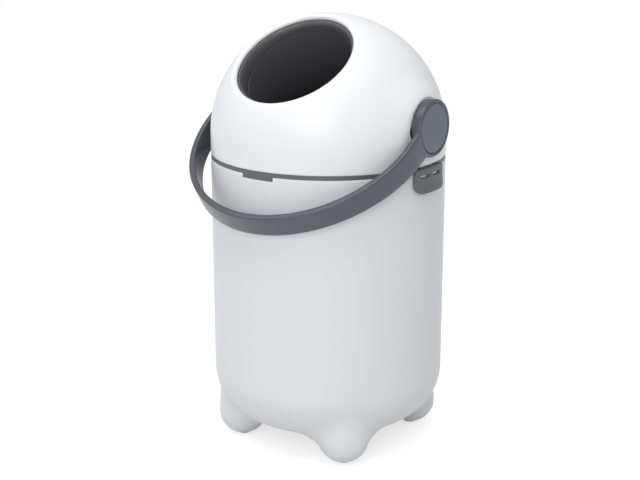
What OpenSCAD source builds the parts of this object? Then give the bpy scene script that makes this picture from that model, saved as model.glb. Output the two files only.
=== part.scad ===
// Nappy bin: a drum bin on four moulded feet, with a domed head that lifts off.
// A round bowl in the dome turns with the carrying handle and drops what it holds into the bin.
// Units are millimetres, +Z is up, the front faces -Y, and the floor is z = 0 under the bin's axis.

/* [Bin] */
// Outer radius of the bin and of the dome
body_r = 140; // [130:1:150]
// Wall thickness of the bin
bin_wall = 3; // [2.4:0.1:3.6]
// Height of the bin's rim above the floor
rim_h = 350; // [330:1:400]
// Height of the bin's underside between the feet
base_h = 26; // [22:1:30]
// Radius at which the bin's wall turns in to its underside
base_round = 62; // [56:1:66]
// Distance of the feet from the bin's axis
foot_pitch = 106; // [102:0.5:108]
// Radius of a foot
foot_r = 30.5; // [28:0.5:31]
// Radius of the hollow between a foot and the underside
foot_flare = 18; // [14:0.5:20]
// Radius of the bulge with which a foot runs into the turned-in wall
foot_bulge = 10; // [8:0.5:14]
// Radius of a rubber foot pad
pad_r = 8; // [6:0.5:9]
// Thickness of a rubber foot pad
pad_t = 4; // [3:0.5:5]

/* [Bag ring] */
// Height of the grey band that shows between bin and dome
band_h = 5; // [4.6:0.1:6]
// Wall thickness of the bag ring's skirt
skirt_t = 2.6; // [2:0.1:3.2]
// Depth of the bag ring's skirt inside the bin
skirt_h = 26; // [18:1:34]
// Distance from the bin's outside in to the hole that the bag hangs in
bag_lip = 22; // [18:1:26]
// Half the angle of the front finger tab
tab_half = 8.3; // [6:0.1:11]
// Drop of the front finger tab into the bin's rim
tab_drop = 4.5; // [3:0.1:7]
// Width of the lid gasket
gasket_w = 4; // [3:0.5:5]

/* [Dome] */
// Wall thickness of the dome
dome_wall = 3; // [2.4:0.1:3.4]
// Height of the dome's straight part
dome_straight = 23; // [18:0.5:30]
// Height of the turning axis above the dome's lower edge
pivot_up = 43; // [42:0.5:44]
// Forward tilt of the mouth
mouth_tilt = 36; // [33:0.5:38]
// Radius of the mouth in the dome
mouth_r = 70.5; // [69:0.5:72]
// Radius of the mouth's rounded edge
mouth_round = 4; // [2.5:0.1:4.5]
// Thickness of the plate that closes the head's underside
plate_t = 4; // [3.4:0.1:5]
// Number of screws that hold the plate
plate_screws = 6; // [4:1:8]

/* [Chute] */
// Inner radius of the chute and of the cup
chute_r = 65.5; // [64:0.5:66.5]
// Wall thickness of the chute
chute_wall = 2.8; // [2:0.1:3]
// Width of the chute's rounded lip
lip_w = 5; // [4:0.1:5]
// Depth of the chute's rounded lip
lip_h = 14; // [8:0.5:18]
// Width of the wiper seal round the chute
seal_w = 7; // [5:0.5:8]

/* [Bowl] */
// Distance from the dome's outside in to the round shell that turns
shell_inset = 36; // [35:0.5:40]
// Wall thickness of the shell
shell_wall = 2.5; // [2:0.1:3]
// Wall thickness of the cup
cup_wall = 2.5; // [2:0.1:3]
// Space between the cup's floor and the shell under it
cup_gap = 20.8; // [18:0.2:30]
// Radius round the cup's floor
cup_round = 45; // [30:1:48]
// Turn of the bowl from open to emptied
turn_range = 215; // [180:1:225]

/* [Hubs] */
// Radius of the hub's flange
flange_r = 26; // [24:0.5:27]
// Radius of the hub's shaft
shaft_r = 11; // [9:0.5:12]
// Width of the hub's square drive
square_w = 14; // [12:0.5:15]
// Radial clearance of a shaft in its bush
run_gap = 0.06; // [0.03:0.01:0.1]

/* [Handle] */
// Distance that the handle's outer faces stand out from the dome
handle_out = 7; // [5:0.5:9]
// Thickness of the handle's strap
strap_t = 6.3; // [5:0.1:6.4]
// Width of the strap at the grip
strap_w = 26.5; // [22:0.5:32]
// Width of the strap where it meets the round heads
strap_w_end = 37; // [33:0.5:42]
// Length of the handle's straight arms
arm_len = 43.5; // [40:0.5:60]
// Slope of the handle below level at rest
handle_drop = 32; // [26:0.5:34]
// Radius of the handle's round heads
head_r = 33; // [32:0.5:34]
// Radius of the cap in each head
cap_r = 28.6; // [26:0.1:29]
// Thickness of the cap
cap_t = 2.2; // [1.8:0.1:2.6]

/* [Side catches] */
// Width of a catch plate
catch_w = 62; // [56:1:66]
// Height of a catch plate
catch_h = 28.6; // [26:0.2:34]
// Thickness of a catch plate
catch_t = 3; // [2.6:0.1:3.6]
// Width of a slot in the catch plate
slot_w = 17; // [12:0.5:19]
// Height of a slot in the catch plate
slot_h = 3.5; // [3:0.1:4]
// Depth of a slot's upper edge below the plate's top
slot_drop = 7.4; // [6:0.2:10]
// Outward flare of the plate's lower end
catch_flare = 3.6; // [1:0.2:4]
// Radius of the catch's hinge pin
pin_r = 1.1; // [0.9:0.1:1.2]

/* [Hidden] */
$fn = 96;

gap = 0.3;
seat = 0.1;
foot_lift = 0.5;
foot_top = base_h + 0.8 * base_round;
flare_from = 32;
flare_to = 105;
flare_shift = 9;
flare_sink = 3;
bulge_to = 60;
arc_steps = 12;

dome_z = rim_h + band_h;
dome_c = dome_z + dome_straight;
pivot_z = dome_z + pivot_up;
bin_in = body_r - bin_wall;
dome_in = body_r - dome_wall;
bag_hole_r = body_r - bag_lip;
shell_r = body_r - shell_inset;
handle_x = body_r + handle_out;

// The mouth's own frame has its origin at the dome's centre and its axis along the tilt.
axis_rise = pivot_z - dome_c;
edge_in_z = sqrt(pow(body_r - mouth_round, 2) - pow(mouth_r + mouth_round, 2));
rim_lip_z = edge_in_z - 0.6;
chute_top = rim_lip_z - gap;
post_low = chute_top - 6.2;
ear_low = post_low - 3.3;
swept_r = shell_r + 1;
cup_drop = shell_r - shell_wall - cup_wall - axis_rise * cos(mouth_tilt) - cup_gap;
axis_shift = axis_rise * sin(mouth_tilt);
flange_reach = 6;
flange_tuck = 2.24;
flange_in = asin((chute_r - axis_shift - flange_tuck) / swept_r);
flange_out = asin((chute_r + chute_wall + axis_shift + flange_reach) / swept_r);
mouth_from = 15;
halves_gap = 0.1;

// Faces along X, from the bowl out to the handle
flat_x = shell_r - 7;
flange_t = 3.5;
shoulder_r = shaft_r + 5;
land_x = handle_x - 12.8;
boss_x = land_x - 7.2;
bush_flange_t = 3.5;
washer_t = 1.4;
shoulder_x = boss_x - bush_flange_t - washer_t - 0.5;
drive_x = handle_x - 7;
screw_floor = handle_x - cap_t - 3;
shank_r = 1.9;
socket_w = square_w + 2 * seat;
bush_r = shaft_r + 3;
pocket_r = head_r + 1;
collar_r = pocket_r + 1.4;
collar_x = land_x + 0.6;

stop_r = 29.5;
stop_pin_r = 3;
stop_lift = 0.8;
stop_clear = asin((stop_pin_r + gap) / stop_r);
stop_arc = 360 - turn_range - 2 * stop_clear;

catch_in = body_r + 0.7;
catch_out = catch_in + catch_t;
catch_top = dome_z - 1.6;
catch_bottom = catch_top - catch_h;
hinge_z = rim_h + band_h / 2;
knuckle_r = pin_r + 1;
hinge_x = body_r - 2.8;
ear_in = hinge_x - 6;
slot_top = catch_top - slot_drop;
slot_from = 4;
hook_reach = 1.8;
hook_t = 1.7;
hook_short = 6.5;
knuckle_spans = [[-11.7, -3.3], [3.3, 11.7]];
ear_spans = [[-17.6, -12], [-3, 3], [12, 17.6]];
pin_len = 35;
notch_half = 22;
corner_w = 14;
corner_h = 10;
shoulder_w = 5;
shoulder_h = 6;
knuckle_web_t = 2.2;

// Screws: radius of shank, head and hole, and the posts they go into
plate_shank_r = 1.5;
plate_head_r = 3.4;
plate_post_r = 4.5;
plate_post_h = 14;
plate_pilot_r = 1.6;
chute_shank_r = 1.25;
chute_head_r = 3;
chute_post_r = 3.5;
chute_pilot_r = 1.3;
chute_ear_r = 5;
chute_ear_t = 3;
chute_screw_at = mouth_r + 12;
hub_screw_r = 1.5;
hub_screw_head_r = 3;
hub_screw_at = 21;
hub_screw_len = 5;
screw_head_t = 2;
shank_gap = 0.3;
handle_screw_head_r = 8;
handle_screw_head_t = 2.6;
screw_well_r = 9;
cap_gap = 0.3;
ear_t = 4;
ear_drop = 1.9;
seal_depth = 2.6;
flange_w = 5;

white = [0.93, 0.93, 0.95];
pale = [0.85, 0.86, 0.87];
slate = [0.38, 0.4, 0.43];
grey = [0.43, 0.43, 0.45];
charcoal = [0.16, 0.16, 0.17];
rubber = [0.75, 0.76, 0.77];
steel = [0.7, 0.7, 0.72];
natural = [0.88, 0.87, 0.82];

function oval(cx, cy, rx, ry, from, to, n) =
    [for (i = [0 : n]) let (a = from + (to - from) * i / n) [cx + rx * cos(a), cy + ry * sin(a)]];

function arc(cx, cy, r, from, to, n = arc_steps) = oval(cx, cy, r, r, from, to, n);

module mouth_frame() {
    translate([0, 0, dome_c]) rotate([mouth_tilt, 0, 0]) children();
}

module pivot_frame() {
    translate([0, 0, pivot_z]) rotate([mouth_tilt, 0, 0]) children();
}

// Turns a shape drawn along +Z so that it lies along +X at the turning axis.
module along_axis() {
    translate([0, 0, pivot_z]) rotate([0, 90, 0]) children();
}

module both_sides() {
    children();
    mirror([1, 0, 0]) children();
}

// Places a child at each foot.
module at_feet() {
    for (a = [45 : 90 : 315]) rotate([0, 0, a]) translate([foot_pitch, 0, 0]) children();
}

// A tube between two radii, from z0 to z1
module tube(r_out, r_in, z0, z1) {
    translate([0, 0, z0]) difference() {
        cylinder(r = r_out, h = z1 - z0);
        translate([0, 0, -1]) cylinder(r = r_in, h = z1 - z0 + 2);
    }
}

// Solid of the bin's outside, drawn in by an inset
module bin_form(inset, top) {
    r = base_round - inset;
    rotate_extrude() polygon(concat(
        [[0, base_h + inset]],
        arc(body_r - base_round, base_h + base_round, r, -90, 0),
        [[body_r - inset, top], [0, top]]));
}

// Round-ended solid of one foot, drawn in by an inset
module foot_form(inset) {
    r = foot_r - inset;
    rotate_extrude() polygon(concat(
        arc(0, foot_lift + foot_r, r, -90, 0),
        [[r, foot_top], [0, foot_top]]));
}

// Hollow flare that runs each foot into the underside, set inwards so that it ends inside the foot's
// outer side
module flare_form(inset) {
    from_x = foot_r * cos(flare_from) - flare_shift;
    from_z = foot_lift + foot_r * (1 - sin(flare_from));
    flare_x = from_x + foot_flare * cos(flare_from);
    flare_z = from_z - foot_flare * sin(flare_from);
    bulge_x = flare_x + (foot_flare + foot_bulge) * cos(flare_to);
    bulge_z = flare_z + (foot_flare + foot_bulge) * sin(flare_to);
    translate([-flare_shift, 0, 0]) rotate_extrude() polygon(concat(
        [[0, from_z - flare_sink + inset], [from_x - flare_sink - inset, from_z - flare_sink + inset]],
        arc(flare_x, flare_z, foot_flare + inset, 175 - flare_from, flare_to, 5),
        arc(bulge_x, bulge_z, foot_bulge - inset, flare_to - 174, bulge_to, 9),
        [[foot_r - flare_shift - inset, foot_top], [0, foot_top]]));
}

// Places a child at the start of each catch slot.
module at_slots() {
    for (side = [0, 180]) rotate([0, 0, side])
        for (y = [slot_from, -slot_from - slot_w]) translate([0, y, 0]) children();
}

module bin_hooks() {
    intersection() {
        at_slots() translate([bin_in + 1, gap, slot_top - 2 * gap - hook_t])
            cube([20, slot_w - hook_short, hook_t]);
        cylinder(r = catch_in + hook_reach - gap, h = rim_h);
    }
}

// Window in the bin's wall under and beside each hook
module hook_windows() {
    at_slots() translate([bin_in - 2, gap, slot_top - slot_h]) {
        cube([bin_wall + 4, slot_w - 2 * gap, slot_h - hook_t - 2 * gap]);
        translate([0, slot_w - hook_short, 0]) cube([bin_wall + 4, hook_short - 2 * gap, slot_h]);
    }
}

module bin_body() {
    notch = tab_half + 0.4;
    color(pale) union() {
        difference() {
            union() {
                bin_form(0, rim_h);
                at_feet() foot_form(0);
                at_feet() flare_form(0);
            }
            bin_form(bin_wall, rim_h + 1);
            intersection() {
                at_feet() foot_form(bin_wall);
                translate([0, 0, pad_t + bin_wall]) cylinder(r = body_r, h = rim_h);
            }
            at_feet() flare_form(bin_wall);
            at_feet() translate([0, 0, -1]) cylinder(r = pad_r + seat, h = pad_t + 1);
            rotate([0, 0, -90 - notch]) rotate_extrude(angle = 2 * notch)
                translate([bin_in - 1, rim_h - tab_drop - gap]) square([bin_wall + 3, tab_drop + 2]);
            hook_windows();
        }
        bin_hooks();
    }
}

module foot_pads() {
    color(rubber) at_feet() cylinder(r = pad_r, h = pad_t);
}

module bag_ring() {
    band_r = body_r - 0.4;
    skirt_r = bin_in - 0.7;
    z0 = rim_h + 0.2;
    color(grey) difference() {
        union() {
            rotate_extrude() polygon([
                [bag_hole_r, rim_h - 3], [skirt_r - skirt_t, rim_h - 3],
                [skirt_r - skirt_t, rim_h - skirt_h], [skirt_r, rim_h - skirt_h],
                [skirt_r, z0], [band_r, z0], [band_r, dome_z - 0.2],
                [skirt_r - skirt_t - 5, dome_z - 0.2], [skirt_r - skirt_t - 5, z0], [bag_hole_r, z0]]);
            tube(bag_hole_r + 2, bag_hole_r, rim_h - skirt_h / 2, rim_h - 2);
            rotate([0, 0, -90 - tab_half]) rotate_extrude(angle = 2 * tab_half)
                translate([skirt_r - 0.5, rim_h - tab_drop]) square([band_r - skirt_r + 0.5, tab_drop + 1]);
        }
        both_sides() translate([ear_in - 1, -notch_half, rim_h - 1])
            cube([20, 2 * notch_half, band_h + 2]);
    }
}

module lid_gasket() {
    color(charcoal) tube(bag_hole_r + 1 + gasket_w, bag_hole_r + 1, rim_h + 0.2, dome_z - 0.1);
}

// Solid of the dome's outside, drawn in by an inset and cut off at its lower edge
module dome_form(inset) {
    r = body_r - inset;
    rotate_extrude() union() {
        translate([0, dome_z - inset]) square([r, dome_straight + inset]);
        intersection() {
            translate([0, dome_c]) circle(r = r);
            translate([0, dome_c]) square([r + 1, r + 1]);
        }
    }
}

// Seat for one of the handle's round heads, with the bush hole through it
module head_seat() {
    along_axis() union() {
        tube(collar_r, bush_r - 1, boss_x, land_x);
        translate([stop_r, 0, flat_x + stop_lift])
            cylinder(r = stop_pin_r, h = boss_x + 2 - flat_x - stop_lift);
    }
    intersection() {
        along_axis() tube(collar_r, pocket_r - 1, boss_x, collar_x);
        dome_form(0.01);
    }
}

module plate_screw_places() {
    for (i = [0 : plate_screws - 1])
        rotate([0, 0, (i + 0.5) * 360 / plate_screws]) translate([dome_in - 4, 0, 0]) children();
}

module chute_screw_places() {
    for (a = [90 : 120 : 330]) rotate([0, 0, a]) translate([chute_screw_at, 0, 0]) children();
}

module dome() {
    post_top = sqrt(pow(dome_in, 2) - pow(chute_screw_at, 2)) + 1.4;
    color(white) difference() {
        union() {
            difference() {
                dome_form(0);
                dome_form(dome_wall);
            }
            mouth_frame() tube(mouth_r + dome_wall, mouth_r - 2, rim_lip_z, edge_in_z + 4);
            both_sides() head_seat();
            plate_screw_places() translate([0, 0, dome_z + plate_t + 0.5])
                cylinder(r = plate_post_r, h = plate_post_h);
            mouth_frame() chute_screw_places() translate([0, 0, post_low])
                cylinder(r = chute_post_r, h = post_top - post_low);
        }
        mouth_frame() translate([0, 0, body_r / 2]) cylinder(r = mouth_r, h = body_r);
        mouth_frame() rotate_extrude() polygon(concat(
            [[mouth_r - 2, body_r], [mouth_r - 2, edge_in_z]],
            arc(mouth_r + mouth_round, edge_in_z, mouth_round, 180, 118, 6),
            [[mouth_r + mouth_round * 1.4, body_r]]));
        both_sides() along_axis() {
            translate([0, 0, land_x]) cylinder(r = pocket_r, h = 30);
            translate([0, 0, boss_x - 40]) cylinder(r = bush_r + seat, h = 80);
        }
        plate_screw_places() translate([0, 0, dome_z]) cylinder(r = plate_pilot_r, h = plate_t + 10);
        mouth_frame() chute_screw_places() translate([0, 0, post_low - 1])
            cylinder(r = chute_pilot_r, h = post_top - post_low + 0.6);
    }
}

// Plate under the dome: it closes the head, and its ears carry the side catches
module dome_plate() {
    z0 = dome_z + 0.2;
    hole_r = sqrt(pow(swept_r + 2, 2) - pow(pivot_z - z0 - plate_t, 2));
    color(grey) difference() {
        union() {
            tube(dome_in - 0.2, hole_r, z0, z0 + plate_t);
            both_sides() for (s = ear_spans) translate([ear_in, s[0], hinge_z - ear_drop]) {
                cube([hinge_x + 1.7 - ear_in, s[1] - s[0], dome_z - 0.2 - hinge_z + ear_drop]);
                cube([ear_t, s[1] - s[0], z0 + 1 - hinge_z + ear_drop]);
            }
        }
        plate_screw_places() {
            translate([0, 0, dome_z - 1]) cylinder(r = plate_shank_r + shank_gap, h = plate_t + 3);
            translate([0, 0, dome_z - 1]) cylinder(r = plate_head_r + shank_gap, h = screw_head_t + 1.4);
        }
        both_sides() translate([hinge_x, 0, hinge_z]) rotate([90, 0, 0])
            cylinder(r = pin_r + 0.03, h = pin_len + 10, center = true);
    }
}

module plate_screws() {
    color(steel) plate_screw_places() union() {
        translate([0, 0, dome_z + 0.4]) cylinder(r = plate_head_r, h = screw_head_t);
        translate([0, 0, dome_z + 0.4]) cylinder(r = plate_shank_r, h = plate_t + 8);
    }
}

// Band of a round shell about the turning axis, from one polar angle to another
module shell_band(r_in, r_out, from, to) {
    steps = max(4, ceil((to - from) / 4));
    pivot_frame() rotate_extrude() polygon(concat(
        arc(0, 0, r_out, 90 - from, 90 - to, steps),
        arc(0, 0, r_in, 90 - to, 90 - from, steps)));
}

module chute() {
    wall_r = chute_r + chute_wall;
    chute_low = chute_top / 2;
    color(charcoal) difference() {
        union() {
            mouth_frame() rotate_extrude() polygon(concat(
                [[chute_r, chute_low]],
                oval(chute_r + lip_w, chute_top - lip_h, lip_w, lip_h, 180, 90, 10),
                [[mouth_r + flange_w, chute_top], [mouth_r + flange_w, chute_top - ear_t],
                 [wall_r, chute_top - ear_t], [wall_r, chute_low]]));
            mouth_frame() chute_screw_places() translate([0, 0, ear_low]) union() {
                cylinder(r = chute_ear_r, h = chute_ear_t);
                translate([wall_r - chute_screw_at - 1, -ear_t, 0])
                    cube([chute_screw_at + 1 - wall_r, 2 * ear_t, chute_ear_t]);
            }
            difference() {
                shell_band(swept_r - 2, swept_r + seal_depth, flange_in, flange_out);
                mouth_frame() cylinder(r = chute_r + 1, h = chute_top);
            }
        }
        translate([0, 0, pivot_z]) sphere(r = swept_r);
        mouth_frame() chute_screw_places() translate([0, 0, ear_low - 4])
            cylinder(r = chute_shank_r + shank_gap, h = 8);
    }
}

module chute_screws() {
    color(steel) mouth_frame() chute_screw_places() translate([0, 0, ear_low - 2]) union() {
        cylinder(r = chute_head_r, h = screw_head_t);
        cylinder(r = chute_shank_r, h = 8);
    }
}

module wiper_seal() {
    step = seal_w / shell_r * 57.3;
    color(charcoal) shell_band(shell_r + gap, swept_r + seal_depth, flange_out, flange_out + step);
}

module bush() {
    color(natural) along_axis() union() {
        tube(bush_r, shaft_r + run_gap, boss_x - 1, land_x - 0.2);
        tube(bush_r + flange_w, shaft_r + run_gap, boss_x - bush_flange_t, boss_x);
    }
}

module bush_right() { bush(); }

module bush_left() { mirror([1, 0, 0]) bush(); }

module thrust_washers() {
    color(steel) both_sides() along_axis()
        tube(shoulder_r, shaft_r + 0.2, shoulder_x + 0.2, shoulder_x + 0.2 + washer_t);
}

module hub_screw_places() {
    for (a = [mouth_tilt + 45 : 90 : mouth_tilt + 315])
        rotate([0, 0, a]) translate([hub_screw_at, 0, 0]) children();
}

// Sector on a hub's flange that meets the dome's stop post at both ends of the turn
module stop_sector() {
    rotate([0, 0, -stop_clear - stop_arc]) translate([0, 0, flat_x])
        rotate_extrude(angle = stop_arc) translate([flange_r - 1, 0])
            square([stop_r + stop_pin_r - flange_r + 1, flange_t]);
}

// Hub with its flange on the bowl's shell, its shaft in the dome and its square in the handle
module hub() {
    color(natural) along_axis() difference() {
        union() {
            translate([0, 0, flat_x]) cylinder(r = flange_r, h = flange_t);
            translate([0, 0, flat_x]) cylinder(r = shoulder_r, h = shoulder_x - flat_x);
            translate([0, 0, flat_x]) cylinder(r = shaft_r, h = land_x + 0.2 - flat_x);
            translate([-square_w / 2, -square_w / 2, land_x]) cube([square_w, square_w, drive_x - land_x]);
            stop_sector();
        }
        translate([0, 0, boss_x - 12]) cylinder(r = shank_r + seat, h = 60);
        hub_screw_places() translate([0, 0, flat_x - 1])
            cylinder(r = hub_screw_r + shank_gap, h = flange_t + 2);
    }
}

module hub_right() { hub(); }

module hub_left() { mirror([1, 0, 0]) hub(); }

module hub_screws() {
    color(steel) both_sides() along_axis() hub_screw_places() union() {
        translate([0, 0, flat_x - hub_screw_len])
            cylinder(r = hub_screw_r, h = hub_screw_len + flange_t + 0.5);
        translate([0, 0, flat_x + flange_t]) cylinder(r = hub_screw_head_r, h = screw_head_t);
    }
}

// Half of the round shell, open at the mouth's side or closed, with its share of the hub flats
module shell_half(from, to) {
    plate_r = sqrt(pow(shell_r, 2) - pow(flat_x, 2)) - 1;
    side = from < 90 ? 1 : -1;
    difference() {
        union() {
            shell_band(shell_r - shell_wall, shell_r, from, to);
            both_sides() intersection() {
                along_axis() translate([0, 0, flat_x - 3]) cylinder(r = plate_r, h = 3);
                pivot_frame() translate([0, -body_r, side > 0 ? gap / 2 : -2 * body_r - gap / 2])
                    cube(2 * body_r);
            }
        }
        both_sides() along_axis() {
            translate([0, 0, flat_x]) cylinder(r = plate_r + 10, h = 20);
            hub_screw_places() translate([0, 0, flat_x - hub_screw_len - 1])
                cylinder(r = hub_screw_r + seat, h = 10);
        }
    }
}

module mouth_shell() {
    color(charcoal) difference() {
        shell_half(mouth_from, 90 - halves_gap);
        mouth_frame() cylinder(r = chute_r + cup_wall + seat, h = body_r);
    }
}

module closing_shell() {
    color(charcoal) shell_half(90 + halves_gap, 180);
}

module cup_form(inset) {
    r = chute_r + cup_wall - inset;
    round_out = cup_round + cup_wall - inset;
    low = -cup_drop - cup_wall + inset;
    mouth_frame() rotate_extrude() polygon(concat(
        [[0, low]],
        arc(r - round_out, low + round_out, round_out, -90, 0),
        [[r, body_r], [0, body_r]]));
}

module cup() {
    color(charcoal) intersection() {
        difference() {
            cup_form(0);
            cup_form(cup_wall);
        }
        translate([0, 0, pivot_z]) sphere(r = shell_r);
    }
}

// Half the strap's width at a distance s from the turning axis, blended into the round head
function strap_half(s) =
    let (reach = arm_len + handle_x,
         strap = strap_w / 2 + (strap_w_end - strap_w) / 2 * pow(max(0, 1 - s / reach), 2),
         round_part = s < head_r ? sqrt(head_r * head_r - s * s) : 0)
    pow(pow(strap, 8) + pow(round_part, 8), 1 / 8);

module handle_side() {
    reach = arm_len + handle_x;
    stations = [for (i = [0 : 24]) reach * 1.02 * pow(i / 24, 1.4)];
    polygon(concat(
        [for (s = stations) [s, strap_half(s)]],
        [for (i = [24 : -1 : 0]) [stations[i], -strap_half(stations[i])]]));
}

// Plan of the bail from above: straight arms and a half circle, to an inset from its outer face
module bail_plan(inset) {
    r = handle_x - inset;
    union() {
        translate([0, -arm_len]) circle(r = r);
        translate([-r, -arm_len]) square([2 * r, arm_len + 0.01 + inset * 10]);
    }
}

module handle() {
    color(slate) translate([0, 0, pivot_z]) rotate([handle_drop, 0, 0]) difference() {
        union() {
            intersection() {
                translate([0, 0, -head_r - 1]) linear_extrude(2 * head_r + 2) difference() {
                    bail_plan(0);
                    bail_plan(strap_t);
                }
                rotate([90, 0, -90]) linear_extrude(3 * body_r, center = true) handle_side();
            }
            both_sides() rotate([0, 90, 0]) translate([0, 0, land_x + 0.4])
                cylinder(r = head_r, h = handle_x - land_x - 0.4);
        }
        both_sides() {
            rotate([0, 90, 0]) translate([0, 0, handle_x - cap_t - 0.05])
                cylinder(r = cap_r + cap_gap, h = 10);
            rotate([0, 90, 0]) translate([0, 0, screw_floor]) cylinder(r = screw_well_r, h = 10);
            rotate([-handle_drop, 0, 0]) translate([land_x - 1, -socket_w / 2, -socket_w / 2])
                cube([drive_x + gap - land_x + 1, socket_w, socket_w]);
            rotate([0, 90, 0]) translate([0, 0, land_x - 1]) cylinder(r = shank_r + seat, h = 10);
        }
    }
}

module handle_cap() {
    color(slate) along_axis() translate([0, 0, handle_x - cap_t]) cylinder(r = cap_r, h = cap_t);
}

module handle_cap_right() { handle_cap(); }

module handle_cap_left() { mirror([1, 0, 0]) handle_cap(); }

module handle_screws() {
    color(steel) both_sides() along_axis() union() {
        translate([0, 0, screw_floor]) cylinder(r = handle_screw_head_r, h = handle_screw_head_t);
        translate([0, 0, boss_x - 8]) cylinder(r = shank_r, h = screw_floor - boss_x + 9);
    }
}

module catch_outline() {
    half = catch_w / 2;
    low = catch_bottom + corner_h;
    high = catch_top - shoulder_h;
    polygon(concat(
        oval(-half + corner_w, low, corner_w, corner_h, 180, 270, 8),
        oval(half - corner_w, low, corner_w, corner_h, 270, 360, 8),
        [[half, high], [half - shoulder_w, catch_top], [-half + shoulder_w, catch_top], [-half, high]]));
}

module catch_plate() {
    low = catch_bottom - 4;
    bend = catch_bottom + 11;
    difference() {
        intersection() {
            rotate_extrude() polygon([
                [catch_in, catch_top], [catch_in, bend], [catch_in + catch_flare, low],
                [catch_out + catch_flare, low], [catch_out, bend], [catch_out, catch_top]]);
            translate([body_r - 20, 0, 0]) rotate([90, 0, 90]) linear_extrude(40) catch_outline();
        }
        for (s = [-1, 1]) translate([body_r - 15, s > 0 ? slot_from : -slot_from - slot_w, 0]) {
            translate([0, 0, slot_top - slot_h]) cube([40, slot_w, slot_h]);
            intersection() {
                translate([0, 0, low - 1]) cube([40, slot_w, slot_top - low + 1]);
                translate([-body_r + 15, 0, 0]) translate([0, s > 0 ? -slot_from : slot_from + slot_w, 0])
                    cylinder(r = catch_in + hook_reach, h = dome_z);
            }
        }
    }
}

module catch_solid() {
    color(grey) difference() {
        union() {
            catch_plate();
            for (k = knuckle_spans) translate([0, k[0], 0]) {
                translate([hinge_x, 0, hinge_z]) rotate([-90, 0, 0]) cylinder(r = knuckle_r, h = k[1] - k[0]);
                translate([hinge_x, 0, hinge_z - 1.4])
                    cube([catch_in + 1 - hinge_x, k[1] - k[0], knuckle_web_t]);
            }
        }
        translate([hinge_x, 0, hinge_z]) rotate([90, 0, 0])
            cylinder(r = pin_r + run_gap, h = pin_len, center = true);
    }
}

module catch_right() { catch_solid(); }

module catch_left() { rotate([0, 0, 180]) catch_solid(); }

module catch_pin() {
    color(steel) translate([hinge_x, 0, hinge_z]) rotate([90, 0, 0])
        cylinder(r = pin_r, h = pin_len - 1, center = true);
}

module catch_pin_right() { catch_pin(); }

module catch_pin_left() { mirror([1, 0, 0]) catch_pin(); }

bin_body();
foot_pads();
bag_ring();
lid_gasket();
dome();
dome_plate();
plate_screws();
chute();
chute_screws();
wiper_seal();
bush_right();
bush_left();
thrust_washers();
hub_right();
hub_left();
hub_screws();
mouth_shell();
closing_shell();
cup();
handle();
handle_cap_right();
handle_cap_left();
handle_screws();
catch_right();
catch_left();
catch_pin_right();
catch_pin_left();
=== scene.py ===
"""Looks of the nappy bin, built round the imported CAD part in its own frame.

Everything is in metres, +Z up, the front faces -Y, and the floor is z = 0 under the bin's axis.
"""

import math

import bmesh
import bpy
import numpy as np
from bpy.props import FloatProperty, FloatVectorProperty, IntProperty, PointerProperty
from mathutils import Matrix, Vector
from mathutils.geometry import delaunay_2d_cdt


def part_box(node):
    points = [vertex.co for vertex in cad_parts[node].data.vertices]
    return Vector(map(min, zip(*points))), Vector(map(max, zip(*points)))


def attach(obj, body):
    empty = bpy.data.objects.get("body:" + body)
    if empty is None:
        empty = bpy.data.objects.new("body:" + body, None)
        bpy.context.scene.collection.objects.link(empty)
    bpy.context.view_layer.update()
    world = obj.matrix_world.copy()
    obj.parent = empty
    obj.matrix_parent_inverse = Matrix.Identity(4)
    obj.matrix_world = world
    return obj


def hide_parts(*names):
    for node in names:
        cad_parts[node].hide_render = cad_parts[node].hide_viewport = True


bl_info = {
    "name": "Nappy bin",
    "version": (1, 0, 0),
    "blender": (4, 5, 0),
    "location": "3D View > Sidebar > Nappy bin",
    "description": "Dresses the nappy bin's CAD part and sets its stage",
    "category": "Object",
}

MM = 0.001
FULL_TURN = 2 * math.pi
WELD = 2e-6
EAR_ANGLES = (90, 210, 330)
# Name, body, columns, then in mm: head radius, head height, shank radius and length,
# and the recess's length, width and depth.
SCREWS = (
    ("plate", "head", 32, (3.4, 2, 1.5, 12), (3.6, 0.8, 1.1)),
    ("chute", "head", 32, (3, 2, 1.25, 8), (3.2, 0.7, 1.0)),
    ("hub", "bowl", 32, (3, 2, 1.5, 10.5), (3.2, 0.7, 1.0)),
    ("handle", "bowl", 48, (8, 2.6, 1.9, 25.4), (6, 1.2, 1.4)),
)

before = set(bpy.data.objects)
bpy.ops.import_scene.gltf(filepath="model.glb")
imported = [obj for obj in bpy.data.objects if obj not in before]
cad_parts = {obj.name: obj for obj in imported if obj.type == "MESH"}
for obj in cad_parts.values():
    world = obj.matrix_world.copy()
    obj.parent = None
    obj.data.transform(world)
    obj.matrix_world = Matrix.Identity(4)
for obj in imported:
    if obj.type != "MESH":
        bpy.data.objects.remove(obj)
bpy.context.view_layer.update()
HANDLE_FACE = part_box("handle")[1].x
DOME_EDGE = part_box("dome")[0].z
DOME_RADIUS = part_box("dome")[1].y


def length_setting(name, description, default):
    """A length that a user may change."""
    return FloatProperty(name=name, description=description, default=default, unit="LENGTH")


def angle_setting(name, description, degrees):
    """An angle that a user may change."""
    return FloatProperty(name=name, description=description, default=math.radians(degrees),
                         subtype="ANGLE")


def colour_setting(name, description, default):
    """A colour that a user may change."""
    return FloatVectorProperty(name=name, description=description, default=default,
                               subtype="COLOR", size=3)


def power_setting(name, description, default):
    """A lamp's power that a user may change."""
    return FloatProperty(name=name, description=description, default=default, min=0,
                         unit="POWER")


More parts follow.
